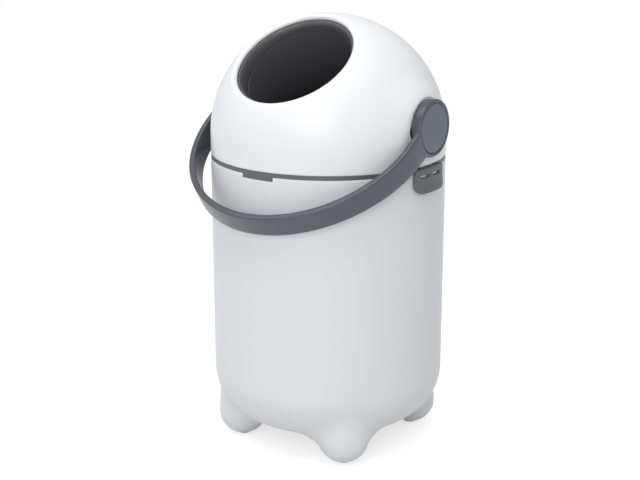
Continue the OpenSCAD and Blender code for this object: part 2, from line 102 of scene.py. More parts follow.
class DrumSizes(bpy.types.PropertyGroup):
    """Sizes of the bin and its feet"""
    radius: length_setting("Radius", "Outer radius of bin and dome", DOME_RADIUS)
    wall: length_setting("Wall", "Wall thickness of bin and dome", 3 * MM)
    rim_height: length_setting("Rim height", "Height of the bin's rim", 0.350)
    rim_rounding: length_setting("Rim rounding", "Radius along the bin's rim", 1.2 * MM)
    base_height: length_setting("Base height", "Height of the underside", 0.0264)
    base_rounding: length_setting("Base rounding", "Radius with which the wall turns in", 0.062)
    foot_pitch: length_setting("Foot pitch", "Distance of a foot from the axis", 0.1035)
    foot_lean: length_setting("Foot lean", "Outward lean of a foot at the floor", 0.004)
    foot_radius: length_setting("Foot radius", "Radius of a foot", 0.0310)
    foot_lift: length_setting("Foot lift", "Height of a foot above its pad's face", 0.5 * MM)
    foot_blend: length_setting("Foot blend", "Width over which a foot flows into the bin", 0.031)
    pad_pitch: length_setting("Pad pitch", "Distance of a foot's pad from the axis", 0.106)
    pad_radius: length_setting("Pad radius", "Radius of a foot's pad", 8 * MM)
    notch_half: angle_setting("Notch", "Half the angle of the front rim notch", 8.7)
    notch_drop: length_setting("Notch depth", "Depth of the front rim notch", 4.8 * MM)


class HeadSizes(bpy.types.PropertyGroup):
    """Sizes of the dome, its mouth and the bowl inside"""
    edge_height: length_setting("Edge height", "Height of the dome's lower edge", DOME_EDGE)
    straight: length_setting("Straight part", "Height of the dome's straight part", 0.023)
    pivot_height: length_setting("Pivot height", "Height of the turning axis", 0.398)
    mouth_tilt: angle_setting("Mouth tilt", "Forward tilt of the mouth", 36)
    mouth_radius: length_setting("Mouth radius", "Radius of the mouth", 0.0705)
    mouth_rounding: length_setting("Mouth rounding", "Radius of the mouth's edge", 4 * MM)
    chute_radius: length_setting("Chute radius", "Inner radius of chute and cup", 0.0655)
    lip_width: length_setting("Lip width", "Width of the chute's rounded lip", 4 * MM)
    lip_depth: length_setting("Lip depth", "Depth of the chute's rounded lip", 15 * MM)
    ear_reach: length_setting("Ear reach", "Distance of the chute's screws from the mouth", 12 * MM)
    shell_radius: length_setting("Shell radius", "Outer radius of the round shell", 0.104)
    flange_angle: angle_setting("Flange angle", "Angle from the mouth's axis to the flange's end", 56)
    cup_drop: length_setting("Cup depth", "Depth of the cup's floor below the dome's centre", 0.062)
    cup_rounding: length_setting("Cup rounding", "Radius round the cup's floor", 0.045)
    collar_face: length_setting("Collar face", "Distance of the collars' faces", 0.1342)
    pocket_radius: length_setting("Pocket radius", "Radius inside a collar", 0.034)
    collar_blend: length_setting("Collar blend", "Width of a collar's run-out", 0.034)


class HandleSizes(bpy.types.PropertyGroup):
    """Sizes of the bail handle and its caps"""
    face: length_setting("Face", "Distance of the outer faces from the middle", HANDLE_FACE)
    thickness: length_setting("Strap thickness", "Thickness of the strap", 6.3 * MM)
    grip_depth: length_setting("Grip thickness", "Thickness round the grip", 7.8 * MM)
    width: length_setting("Grip width", "Width of the strap at the grip", 26.5 * MM)
    width_end: length_setting("End width", "Width of the strap at the heads", 37 * MM)
    arm: length_setting("Arm length", "Length of the straight arms", 43.5 * MM)
    drop: angle_setting("Slope", "Slope of the handle below level", 32)
    head_radius: length_setting("Head radius", "Radius of the round heads", 33 * MM)
    head_depth: length_setting("Head depth", "Thickness of the round heads", 12.4 * MM)
    cap_radius: length_setting("Cap radius", "Radius of the caps", 28.4 * MM)
    edge: length_setting("Edge", "Rounding along the handle's edges", 1.7 * MM)


class CatchSizes(bpy.types.PropertyGroup):
    """Sizes of the side catches and of the hooks that they go over"""
    width: length_setting("Width", "Width of a catch plate", 62 * MM)
    height: length_setting("Height", "Height of a catch plate", 28.6 * MM)
    thickness: length_setting("Thickness", "Thickness of a catch plate", 3 * MM)
    top: length_setting("Top", "Height of the plate's upper edge", 0.3534)
    stand_off: length_setting("Stand-off", "Gap between plate and bin", 0.7 * MM)
    slot_width: length_setting("Slot width", "Width of a slot", 17 * MM)
    slot_height: length_setting("Slot height", "Height of a slot", 3.5 * MM)
    slot_gap: length_setting("Slot gap", "Distance of a slot from the plate's middle", 4 * MM)
    slot_drop: length_setting("Slot drop", "Distance of a slot below the upper edge", 7.4 * MM)
    hook_play: length_setting("Hook play", "Room between a hook and the end of its slot", 0.3 * MM)
    hook_short: length_setting("Hook shortness", "How much shorter a hook is than its slot", 6.5 * MM)
    flare_height: length_setting("Flare height", "Height of the plate's flared end", 13 * MM)
    flare: length_setting("Flare", "Outward flare of the lower end", 2.88 * MM)


class Finishes(bpy.types.PropertyGroup):
    """Colours and grain of the plastics"""
    dome: colour_setting("Dome", "Gloss white of the dome", (0.82, 0.82, 0.85))
    drum: colour_setting("Bin", "Satin grey-white of the bin", (0.745, 0.745, 0.775))
    slate: colour_setting("Handle", "Slate grey of the handle", (0.055, 0.059, 0.075))
    grey: colour_setting("Ring", "Grey of the bag ring and catches", (0.122, 0.124, 0.133))
    charcoal: colour_setting("Bowl", "Charcoal of the turning bowl", (0.095, 0.093, 0.100))
    grain: length_setting("Grain", "Size of the moulded grain", 0.45 * MM)
    sample: IntProperty(name="Seed", description="Seed of the patterns", default=4, min=0)


class StageSizes(bpy.types.PropertyGroup):
    """Lamps, floor and camera"""
    world: FloatProperty(name="World light", description="Strength of the even light",
                         default=0.615, min=0)
    front: power_setting("Front light", "Power of the large front lamp", 19.5)
    top: power_setting("Top light", "Power of the large lamp overhead", 19.0)
    rim: power_setting("Rim light", "Power of the small lamp high on the left", 5.0)
    glow: FloatProperty(name="Floor white", description="Extra white that the floor shows",
                        default=0.62, min=0)
    floor: length_setting("Floor", "Distance of the floor's edges from the bin", 6.0)
    lens: FloatProperty(name="Lens", description="Focal length for a 36 mm sensor",
                        default=76.275, min=10, unit="CAMERA")
    place: FloatVectorProperty(name="Camera place", description="Place of the camera",
                               default=(0.91145, -1.30381, 0.6913), size=3,
                               subtype="TRANSLATION", unit="LENGTH")
    tilt: FloatProperty(name="Camera tilt", description="Tilt of the camera below level",
                        default=0.2745, subtype="ANGLE")
    heading: FloatProperty(name="Camera heading", description="Turn of the camera from the front",
                           default=math.radians(35.0) + 0.0055, subtype="ANGLE")


def arc(cx, cy, radius, start, end, count, rise=None):
    """Points on an arc, both ends included. Angles are in degrees, rise is an ellipse's height."""
    turn = np.radians(np.linspace(start, end, count + 1))
    return [(cx + radius * math.cos(a), cy + (rise or radius) * math.sin(a)) for a in turn]


def around(count):
    """Angles spread evenly over a full turn."""
    return np.arange(count) * FULL_TURN / count


def ring(radius, height, turn):
    """One row of points round +Z; radius and height are one number, or one for each angle."""
    return np.stack([radius * np.cos(turn), radius * np.sin(turn),
                     np.broadcast_to(height, turn.shape)], 1)


def spun(profile, turn):
    """Grid of points from a profile of (radius, height) pairs turned about +Z."""
    return np.stack([ring(radius, height, turn) for radius, height in profile])


def moved(points, matrix):
    """Points of any grid shape moved by a 4 x 4 matrix."""
    m = np.array(matrix)
    return points @ m[:3, :3].T + m[:3, 3]


def grid_faces(rows, columns):
    """Quads of a closed grid of points that are stored row by row."""
    c = np.arange(columns)
    d = (c + 1) % columns
    r = np.arange(rows - 1)[:, None] * columns
    quads = np.stack([r + c, r + d, r + columns + d, r + columns + c], 2)
    return quads.reshape(-1, 4).tolist()


def grid_part(points):
    """A grid of points, closed along its rows, as a pair of point list and face list."""
    rows, columns = points.shape[:2]
    return points.reshape(-1, 3), grid_faces(rows, columns)


def capped_part(points):
    """A grid of points as a part, with one face over its first row and one over its last."""
    rows, columns = points.shape[:2]
    flat, faces = grid_part(points)
    last = (rows - 1) * columns
    return flat, faces + [list(range(columns)), list(range(last, last + columns))]


def mouth_matrix(sizes):
    """From the mouth's own frame, with its axis along +Z, to the part's frame."""
    centre = Vector((0, 0, sizes.edge_height + sizes.straight))
    return Matrix.Translation(centre) @ Matrix.Rotation(sizes.mouth_tilt, 4, "X")


def side_matrix(sizes, side):
    """From a frame whose +Z is the turning axis, pointing outwards on that side."""
    place = Matrix.Translation((0, 0, sizes.pivot_height))
    return place @ Matrix.Rotation(side * math.pi / 2, 4, "Y")


def tag_edges(mesh):
    """Writes the attribute edge_wear: near 1 at sharp convex edges and 0 on open surfaces."""
    count, gain = len(mesh.vertices), 12
    normals = np.zeros(count * 3, np.float32)
    mesh.vertices.foreach_get("normal", normals)
    normals = normals.reshape(-1, 3)
    corner_vertex = np.zeros(len(mesh.loops), np.int32)
    mesh.loops.foreach_get("vertex_index", corner_vertex)
    totals = np.zeros(len(mesh.polygons), np.int32)
    mesh.polygons.foreach_get("loop_total", totals)
    face_normals = np.zeros(len(mesh.polygons) * 3, np.float32)
    mesh.polygons.foreach_get("normal", face_normals)
    corner_face = np.repeat(np.arange(len(totals)), totals)
    spread = 1 - (normals[corner_vertex] * face_normals.reshape(-1, 3)[corner_face]).sum(1)
    wear = np.zeros(count, np.float32)
    np.maximum.at(wear, corner_vertex, np.clip(spread * gain, 0, 1))
    attribute = mesh.attributes.new("edge_wear", "FLOAT", "POINT")
    attribute.data.foreach_set("value", wear)


def new_object(name, data):
    """A new object in the scene."""
    obj = bpy.data.objects.new(name, data)
    bpy.context.scene.collection.objects.link(obj)
    return obj


def welded_object(name, parts):
    """One object from several (points, faces) parts, welded, with its normals outwards."""
    points, faces, start = [], [], 0
    for p, f in parts:
        points.append(np.asarray(p, float).reshape(-1, 3))
        faces += [[start + i for i in face] for face in f]
        start += len(points[-1])
    mesh = bpy.data.meshes.new(name)
    mesh.from_pydata(np.concatenate(points).tolist(), [], faces)
    bm = bmesh.new()
    bm.from_mesh(mesh)
    bmesh.ops.remove_doubles(bm, verts=bm.verts, dist=WELD)
    bmesh.ops.dissolve_degenerate(bm, edges=bm.edges, dist=WELD / 4)
    loose = [v for v in bm.verts if not v.link_faces]
    bmesh.ops.delete(bm, geom=loose, context="VERTS")
    bmesh.ops.recalc_face_normals(bm, faces=bm.faces)
    bm.to_mesh(mesh)
    bm.free()
    return new_object(name, mesh)


def smooth(mesh, sharp):
    """Smooth shading, but for edges that are sharper than an angle in degrees."""
    mesh.shade_smooth()
    mesh.set_sharp_from_angle(angle=math.radians(sharp))


def coated(obj, material, sharp):
    """The object with smooth shading, its wear attribute and its only material."""
    smooth(obj.data, sharp)
    tag_edges(obj.data)
    obj.data.materials.clear()
    obj.data.materials.append(material)
    return obj


def finish_piece(obj, material, body, replaced=(), sharp=38):
    """Shading and material of a piece, then its parenting to its body and the hiding of the CAD parts
    it replaces.
    """
    coated(obj, material, sharp)
    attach(obj, body)
    if replaced:
        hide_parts(*replaced)
    return obj


def make_piece(name, parts, material, body, replaced=(), sharp=38):
    """A finished piece from several (points, faces) parts."""
    return finish_piece(welded_object(name, parts), material, body, replaced, sharp)


def applied(obj):
    """The object with its modifiers turned into a plain mesh."""
    depsgraph = bpy.context.evaluated_depsgraph_get()
    depsgraph.update()
    mesh = bpy.data.meshes.new_from_object(obj.evaluated_get(depsgraph))
    obj.modifiers.clear()
    obj.data = mesh
    return obj


def cut_away(obj, groups, sharp):
    """Cuts groups of closed parts out of a piece, one group after the other."""
    for cutters in groups:
        tool = coated(welded_object("cutter", cutters), obj.data.materials[0], sharp)
        cut = obj.modifiers.new("Cut", "BOOLEAN")
        cut.object, cut.operation, cut.solver = tool, "DIFFERENCE", "EXACT"
        applied(obj)
        bpy.data.objects.remove(tool)
    smooth(obj.data, sharp)


def inside_loop(points, loop):
    """Which of the 2D points lie inside a closed loop."""
    x, y = points[:, 0], points[:, 1]
    inside = np.zeros(len(points), bool)
    a, b = loop, np.roll(loop, -1, 0)
    for (x0, y0), (x1, y1) in zip(a, b):
        crosses = (y0 > y) != (y1 > y)
        at = x0 + (y - y0) * (x1 - x0) / (y1 - y0 if y1 != y0 else 1e-12)
        inside ^= crosses & (x < at)
    return inside


def loop_normals(loop):
    """Unit normals at the corners of a closed loop, to its right-hand side."""
    along = np.roll(loop, -1, 0) - np.roll(loop, 1, 0)
    along /= np.linalg.norm(along, axis=1)[:, None]
    return np.stack([along[:, 1], -along[:, 0]], 1)


def near_loops(points, loops, reach):
    """Which of the 2D points lie closer than reach to a corner of the loops."""
    near = np.zeros(len(points), bool)
    for corner in np.concatenate(loops):
        near |= ((points - corner) ** 2).sum(1) < reach * reach
    return near


def developed_plate(outline, holes, thickness, edge, edge_back, spacing, place, steps=4):
    """Plate cut from a flat outline with holes, its edges rounded, and bent by place(s, t, depth).

    The outline runs anticlockwise and each hole clockwise, so that every loop has its material on
    the left. edge_back may be one radius, or one for each point of the outline.
    """
    parts = []
    fronts, backs = [], []
    for number, loop in enumerate([outline] + holes):
        loop = np.asarray(loop, float)
        normal = loop_normals(loop)
        back = np.broadcast_to(np.asarray(edge_back if number == 0 else np.min(edge_back), float),
                               (len(loop),))
        rows = []
        for a in np.linspace(0, math.pi / 2, steps + 1):
            flat = loop - normal * edge * (1 - math.sin(a))
            rows.append(place(flat[:, 0], flat[:, 1], np.full(len(loop), edge * (1 - math.cos(a)))))
        for a in np.linspace(math.pi / 2, 0, steps + 1):
            flat = loop - normal * (back * (1 - math.sin(a)))[:, None]
            rows.append(place(flat[:, 0], flat[:, 1], thickness - back * (1 - math.cos(a))))
        parts.append(grid_part(np.stack(rows)))
        fronts.append(loop - normal * edge)
        backs.append(loop - normal * back[:, None])
    for loops, depth in ((fronts, 0.0), (backs, thickness)):
        low, high = loops[0].min(0), loops[0].max(0)
        s = np.arange(low[0] + spacing / 2, high[0], spacing)
        t = np.arange(low[1] + spacing / 2, high[1], spacing)
        fill = np.stack(np.meshgrid(s, t, indexing="ij"), 2).reshape(-1, 2)
        keep = inside_loop(fill, loops[0]) & ~near_loops(fill, loops, spacing * 0.6)
        for hole in loops[1:]:
            keep &= ~inside_loop(fill, hole)
        points, edges = [], []
        for loop in loops:
            start = len(points)
            points += [tuple(p) for p in loop]
            edges += [(start + i, start + (i + 1) % len(loop)) for i in range(len(loop))]
        points += [tuple(p) for p in fill[keep]]
        flat, _, faces, *_ = delaunay_2d_cdt([Vector(p) for p in points], edges, [], 1, 1e-9)
        flat = np.array([tuple(v) for v in flat])
        middle = np.array([flat[list(f)].mean(0) for f in faces])
        keep = inside_loop(middle, loops[0])
        for hole in loops[1:]:
            keep &= ~inside_loop(middle, hole)
        kept = [f for f, k in zip(faces, keep) if k]
        parts.append((place(flat[:, 0], flat[:, 1], np.full(len(flat), depth)), kept))
    return parts


def drum_distance(p, sizes):
    """Distance of points from the bin's round-bottomed drum, negative inside, and its direction."""
    inner = sizes.radius - sizes.base_rounding
    level = sizes.base_height + sizes.base_rounding
    r = np.hypot(p[..., 0], p[..., 1])
    out = np.maximum(r - inner, 0)
    down = np.maximum(level - p[..., 2], 0)
    length = np.hypot(out, down) + 1e-9
    outwards = p[..., :2] / (r[..., None] + 1e-9)
    way = np.concatenate([outwards * (out / length)[..., None], -(down / length)[..., None]], -1)
    return length - sizes.base_rounding, way


def feet_distance(p, sizes, tip):
    """Distance of points from the nearest foot, whose round end has its centre at height tip."""
    lean = sizes.foot_lean * np.clip(1 - p[..., 2:] / (2 * sizes.foot_radius), 0, 1)
    at = (sizes.foot_pitch + lean) / math.sqrt(2)
    sign = np.where(p[..., :2] < 0, -1.0, 1.0)
    off = p[..., :2] - sign * at
    across = np.linalg.norm(off, axis=-1)
    down = np.maximum(tip - p[..., 2], 0)
    length = np.hypot(across, down) + 1e-9
    way = np.concatenate([off / length[..., None], -(down / length)[..., None]], -1)
    return length - sizes.foot_radius, way


def blended_distance(p, sizes, tip):
    """Distance of points from drum and feet, which flow together where their faces meet squarely."""
    drum, drum_way = drum_distance(p, sizes)
    feet, feet_way = feet_distance(p, sizes, tip)
    width = sizes.foot_blend * np.clip(1 - (drum_way * feet_way).sum(-1), 0, 1) + 1e-5
    overlap = np.maximum(width - np.abs(drum - feet), 0)
    return np.minimum(drum, feet) - overlap * overlap / (4 * width)


def settle(p, sizes, tip, level, passes):
    """Moves points along the slope of the blended distance until it equals level."""
    step, longest = 0.05 * MM, 3 * MM
    for _ in range(passes):
        slope = np.stack([
            blended_distance(p + offset, sizes, tip) - blended_distance(p - offset, sizes, tip)
            for offset in np.eye(3) * step], -1) / (2 * step)
        steep = (slope * slope).sum(-1) + 1e-6
        gap = blended_distance(p, sizes, tip) - level
        move = slope * (gap / steep)[..., None]
        size = np.linalg.norm(move, axis=-1)[..., None] + 1e-12
        p = p - move * np.minimum(1, longest / size)
    return p


def evened(p, share):
    """Moves each point of a closed grid towards the middle of its neighbours, by its share."""
    inner = p[1:-1]
    middle = (p[:-2] + p[2:] + np.roll(inner, 1, 1) + np.roll(inner, -1, 1)) / 4
    p = p.copy()
    p[1:-1] = inner + (middle - inner) * share[1:-1][:, None, None]
    return p


def grown_feet(grid, sizes, level, steps, polish):
    """Grows the four feet out of the drum's grid and spreads the grid over them."""
    fixed_from, run, first_lift = 0.112, 0.012, 0.060
    free = np.clip((fixed_from - grid[:, 0, 2]) / run, 0, 1)
    free[-1] = 0
    loose = free > 0
    rest = sizes.foot_lift + sizes.foot_radius
    for lift in np.linspace(first_lift, 0, steps):
        grid = evened(grid, free * 0.5)
        grid[loose] = settle(grid[loose], sizes, rest + lift, level, 2)
    for _ in range(polish):
        grid = evened(grid, free * 0.5)
        grid[loose] = settle(grid[loose], sizes, rest, level, 1)
    grid[loose] = settle(grid[loose], sizes, rest, level, 4)
    return grid


def bin_angles(sizes, count):
    """Angles round the bin, with two close ones at each end of the front notch."""
    turn = around(count) - math.pi
    step = 0.0015
    for side in (-1, 1):
        end = -math.pi / 2 + side * sizes.notch_half
        nearest = np.abs(turn - end).argmin()
        turn[nearest] = end
        turn = np.append(turn, end + side * step)
    return np.sort(turn)


def bin_rows(sizes, turn, inset, heights, bend_rows, base_rows):
    """Rows of the bin's wall below its rim, down to the middle of its underside."""
    bend = sizes.base_rounding - inset
    inner = sizes.radius - sizes.base_rounding
    level = sizes.base_height + sizes.base_rounding
    middle = 2 * MM
    line = [(sizes.radius - inset, z) for z in heights]
    line += arc(inner, level, bend, 0, -90, bend_rows)
    line += [(inner * (1 - f) + middle * f, level - bend)
             for f in np.linspace(0, 1, base_rows + 1)[1:]]
    return spun(line, turn)


def rim_rows(sizes, turn):
    """Rows over the rim, from the inner wall to the outer one, lower inside the front notch."""
    inside = np.abs(turn + math.pi / 2) < sizes.notch_half + 1e-6
    top = sizes.rim_height - np.where(inside, sizes.notch_drop, 0)
    edge = sizes.rim_rounding
    line = arc(sizes.radius - sizes.wall + edge, -edge, edge, 180, 90, 4)
    line += arc(sizes.radius - edge, -edge, edge, 90, 0, 4)
    return np.stack([ring(x, top + z, turn) for x, z in line])


def slot_starts(catches):
    """Where each catch slot starts along the plate, on both sides of its middle."""
    return catches.slot_gap, -catches.slot_gap - catches.slot_width


def hook_parts(sizes, catches):
    """The four small hooks that the catches' slots go over, with their corners rounded."""
    clear, height = 0.6 * MM, 1.7 * MM
    top = catches.top - catches.slot_drop - clear
    low = top - height
    edge, sunk, proud = 0.4 * MM, 1 * MM, 2.2 * MM
    parts = []
    for side in (1, -1):
        for start in slot_starts(catches):
            rows = []
            for y in start + catches.hook_play + np.linspace(
                    0, catches.slot_width - catches.hook_short, 9):
                x_in = math.sqrt((sizes.radius - sunk) ** 2 - y * y)
                x_out = math.sqrt((sizes.radius + proud) ** 2 - y * y)
                rows.append([(x_in, y, low), (x_out - edge, y, low), (x_out, y, low + edge),
                             (x_out, y, top - edge), (x_out - edge, y, top), (x_in, y, top)])
            rows = np.array(rows)
            rows[..., :2] *= side
            parts.append(capped_part(rows))
    return parts


def block(low, high):
    """A box between two corners, as a part."""
    (x0, y0, z0), (x1, y1, z1) = low, high
    return capped_part(np.array([[(x, y0, z0), (x, y1, z0), (x, y1, z1), (x, y0, z1)]
                                 for x in (x0, x1)]))


def window_parts(sizes, catches):
    """Cutters for the window round each hook: the boxes under the hooks and those beside them."""
    slot_top = catches.top - catches.slot_drop
    low = slot_top - catches.slot_height
    x0, x1 = sizes.radius - sizes.wall - 2 * MM, sizes.radius + 2 * MM
    under, beside = [], []
    for side in (1, -1):
        for start in slot_starts(catches):
            far = start + catches.slot_width
            hook_end = far - catches.hook_short
            boxes = (under, start + catches.hook_play, hook_end, slot_top - 2.3 * MM), \
                    (beside, hook_end, far - catches.hook_play, slot_top)
            for group, y0, y1, top in boxes:
                points, faces = block((x0, y0, low), (x1, y1, top))
                group.append((points * (side, side, 1), faces))
    return under, beside


class NAPPYBIN_OT_drum(bpy.types.Operator):
    """Bin whose wall flows into four feet, with its rim, front notch and catch hooks"""
    bl_idname = "nappybin.drum"
    bl_label = "Bin"

    def execute(self, context):
        sizes, catches = context.scene.drum_sizes, context.scene.catch_sizes
        turn = bin_angles(sizes, 396)
        outer_heights = [0.342, 0.30, 0.25, 0.20, 0.16, 0.135, 0.12, 0.112, 0.106, 0.100, 0.094]
        inner_heights = [0.342, 0.28, 0.20, 0.14, 0.110, 0.098]
        outer = bin_rows(sizes, turn, 0, outer_heights, 42, 28)
        inner = bin_rows(sizes, turn, sizes.wall, inner_heights, 20, 16)
        outer = grown_feet(outer, sizes, 0, 40, 60)
        inner = grown_feet(inner, sizes, -sizes.wall, 24, 30)
        wall = capped_part(np.concatenate([inner[::-1], rim_rows(sizes, turn), outer]))
        material = bin_plastic()
        shell = make_piece("bin_shell", [wall], material, "bin", ["bin_body"])
        cut_away(shell, window_parts(sizes, catches), 35)
        make_piece("catch_hooks", hook_parts(sizes, catches), material, "bin")
        return {"FINISHED"}


def mouth_top(sizes, drum):
    """Height at which the mouth's rounded edge begins, in the mouth's own frame."""
    edge_r = sizes.mouth_radius + sizes.mouth_rounding
    return math.sqrt((drum.radius - sizes.mouth_rounding) ** 2 - edge_r ** 2)


def dome_rows(sizes, drum, turn):
    """Rows of the dome's closed wall, from the mouth's edge over the outside and back inside."""
    radius, wall, rounding = drum.radius, drum.wall, sizes.mouth_rounding
    mouth, low = sizes.mouth_radius, sizes.edge_height
    to_part = mouth_matrix(sizes)
    matrix = np.array(to_part)
    edge_r, edge_z = mouth + rounding, mouth_top(sizes, drum)
    lip_z = edge_z - 0.6 * MM
    start = math.degrees(math.atan2(edge_z, edge_r))
    rows = [moved(ring(r, z, turn), to_part)
            for r, z in [(mouth, lip_z)] + arc(edge_r, edge_z, rounding, 180, start, 12)]

    def band(size, cone, count):
        """Rows on a ball from a cone about the mouth's axis down to the level circle."""
        upper = ring(math.sin(cone), math.cos(cone), turn) @ matrix[:3, :3].T
        level = ring(1, 0, turn)
        angle = np.arccos(np.clip((upper * level).sum(1), -1, 1))[:, None]
        return [matrix[:3, 3] + size * (np.sin((1 - f) * angle) * upper
                                        + np.sin(f * angle) * level) / np.sin(angle)
                for f in np.linspace(0, 1, count + 1)]

    rows += band(radius, math.radians(90 - start), 56)[1:]
    edge, inner_r, tube = 0.9 * MM, radius - wall, mouth + wall
    line = [(radius, low + 12 * MM), (radius, low + 4 * MM)]
    line += arc(radius - edge, low + edge, edge, 0, -90, 4)
    line += arc(inner_r + edge, low + edge, edge, -90, -180, 4)
    line += [(inner_r, low + 12 * MM)]
    rows += [ring(r, z, turn) for r, z in line]
    rows += band(inner_r, math.asin(tube / inner_r), 28)[::-1]
    rows += [moved(ring(tube, lip_z, turn), to_part), rows[0]]
    return np.stack(rows)


def collar_part(sizes, drum, side):
    """The ring that a handle head sits in, running out into the dome, and its bearing wall."""
    turn = around(160)
    face, pocket = sizes.collar_face, sizes.pocket_radius
    bore, inner_end = 15 * MM, 0.127
    outer, top = pocket + 1.4 * MM, face + 0.6 * MM
    edge, thickness, sunk, steepness = 0.5 * MM, 2 * MM, 0.5 * MM, 2.8
    axis_height = sizes.pivot_height - sizes.edge_height
    rise = axis_height - sizes.straight

    def dome_at(r):
        """Distance of the dome's surface from the middle, over a circle round the axis."""
        up = np.clip(rise + r * np.sin(turn), 0, None)
        return np.sqrt(drum.radius ** 2 - (r * np.cos(turn)) ** 2 - up ** 2)

    low = (axis_height - 1 * MM) / np.clip(-np.sin(turn), 0.01, 1)
    reach = np.minimum(sizes.collar_blend, low - outer)
    blend = []
    for f in np.linspace(1, 0, 30):
        r = outer + reach * f
        under = dome_at(r)
        height = np.where(under < top, under + (top - under) * (1 - f) ** steepness, under - sunk)
        blend.append((r, height - (0.2 * MM if f == 1 else 0)))
    line = [(bore, inner_end)]
    line += [(r, height - thickness) for r, height in blend[::-1]]
    line += blend[:-1]
    line += arc(outer - edge, top - edge, edge, 0, 90, 4)[1:]
    line += arc(pocket + edge, top - edge, edge, 90, 180, 4)
    line += [(pocket, face), (bore, face), (bore, inner_end)]
    place = spun(line, turn) @ np.array([(0, 1, 0), (0, 0, 1), (1, 0, 0)])
    place[..., 0] *= side
    place[..., 2] += sizes.pivot_height
    return grid_part(place)


class NAPPYBIN_OT_dome(bpy.types.Operator):
    """Dome with its tilted round mouth and the two seats that the handle's heads sink into"""
    bl_idname = "nappybin.dome"
    bl_label = "Dome"

    def execute(self, context):
        sizes, drum = context.scene.head_sizes, context.scene.drum_sizes
        material = dome_plastic()
        wall = grid_part(dome_rows(sizes, drum, around(320)))
        dome = make_piece("dome_shell", [wall], material, "head", ["dome"])
        face, far, pocket = sizes.collar_face, 0.16, sizes.pocket_radius
        seat = spun([(0, face), (pocket, face), (pocket, far), (0, far)], around(120))
        seats = [grid_part(moved(seat, side_matrix(sizes, side))) for side in (1, -1)]
        cut_away(dome, [seats], 30)
        collars = [collar_part(sizes, drum, side) for side in (1, -1)]
        make_piece("handle_collars", collars, material, "head", sharp=50)
        return {"FINISHED"}


def pivot_offset(sizes):
    """Place of the turning axis in the mouth's own frame, along its Y and Z."""
    rise = sizes.pivot_height - sizes.edge_height - sizes.straight
    return rise * math.sin(sizes.mouth_tilt), rise * math.cos(sizes.mouth_tilt)


def pivot_matrix(sizes):
    """From a frame on the turning axis, tilted as the mouth is, to the part's frame."""
    return mouth_matrix(sizes) @ Matrix.Translation((0, *pivot_offset(sizes)))


def tube_ends(tube, ball, turn, sizes):
    """Heights at which points on a tube round the mouth's axis lie on a ball about the pivot."""
    off_y, off_z = pivot_offset(sizes)
    flat = (tube * np.cos(turn)) ** 2 + (tube * np.sin(turn) - off_y) ** 2
    return off_z + np.sqrt(ball * ball - flat)


def chute_parts(sizes, drum, turn):
    """Chute wall with its rounded lip and dark groove, its ball-shaped flange and three ears."""
    top = mouth_top(sizes, drum) - 0.9 * MM
    r, lip_w = sizes.chute_radius, sizes.lip_width
    out, rim = r + 2.8 * MM, sizes.mouth_radius + 5 * MM
    groove = top - 1.5 * MM
    groove_r, groove_low = r + lip_w + 0.2 * MM, groove - 2.5 * MM
    ball = sizes.shell_radius + 1 * MM
    low_in = tube_ends(r, sizes.shell_radius + 0.4 * MM, turn, sizes)
    lip_h = np.minimum(sizes.lip_depth, top - low_in - 0.8 * MM)
    rows = [ring(out, tube_ends(out, ball, turn, sizes), turn), ring(r, low_in, turn)]
    for f in np.linspace(0, 1, 8)[1:]:
        rows.append(ring(r, low_in * (1 - f) + (top - lip_h) * f, turn))
    for a in np.radians(np.linspace(180, 90, 15))[1:]:
        rows.append(ring(r + lip_w + lip_w * math.cos(a), top - lip_h + lip_h * math.sin(a), turn))
    rows += [ring(x, z, turn) for x, z in ((groove_r, top - 0.4 * MM), (groove_r, groove),
                                           (rim, groove), (rim, groove_low), (out, groove_low))]
    rows.append(rows[0])
    wall = grid_part(moved(np.stack(rows), mouth_matrix(sizes)))

    off_y = pivot_offset(sizes)[0]
    tube, thick = out - 0.4 * MM, 2.6 * MM
    start = np.sqrt(tube ** 2 - (off_y * np.cos(turn)) ** 2) - off_y * np.sin(turn)
    end = ball * math.sin(sizes.flange_angle)
    rows = []
    for size, way in ((ball, 1), (ball + thick, -1)):
        for f in np.linspace(0, 1, 7)[::way]:
            at = start * (1 - f) + end * f - (0.5 * MM if f == 1 and way == 1 else 0)
            rows.append(ring(at, np.sqrt(size * size - at * at), turn))
    rows.append(rows[0])
    flange = grid_part(moved(np.stack(rows), pivot_matrix(sizes)))
    return [wall, flange] + ear_parts(sizes, ear_level(sizes, drum))


def ear_level(sizes, drum):
    """Height of the ears' lower faces, in the mouth's own frame."""
    below_mouth = 10.4 * MM
    return mouth_top(sizes, drum) - below_mouth


def ear_parts(sizes, low):
    """Three ears under the chute's rim that its screws go through."""
    root, neck, half = -14.5 * MM, -3 * MM, 4 * MM
    line = [(root, half), (neck, half)] + arc(0, 0, 5 * MM, 53, -53, 12)
    line += [(neck, -half), (root, -half)]
    line = np.array(line) + (sizes.mouth_radius + sizes.ear_reach, 0)
    middle = line.mean(0)
    rows = []
    for inset, height in ((0.5, 0), (0, 0.5), (0, 2.5), (0.5, 3.0)):
        flat = middle + (line - middle) * (1 - inset / 8)
        rows.append(np.column_stack([flat, np.full(len(flat), low + height * MM)]))
    places = [mouth_matrix(sizes) @ Matrix.Rotation(math.radians(angle), 4, "Z")
              for angle in EAR_ANGLES]
    return [capped_part(moved(np.stack(rows), place)) for place in places]


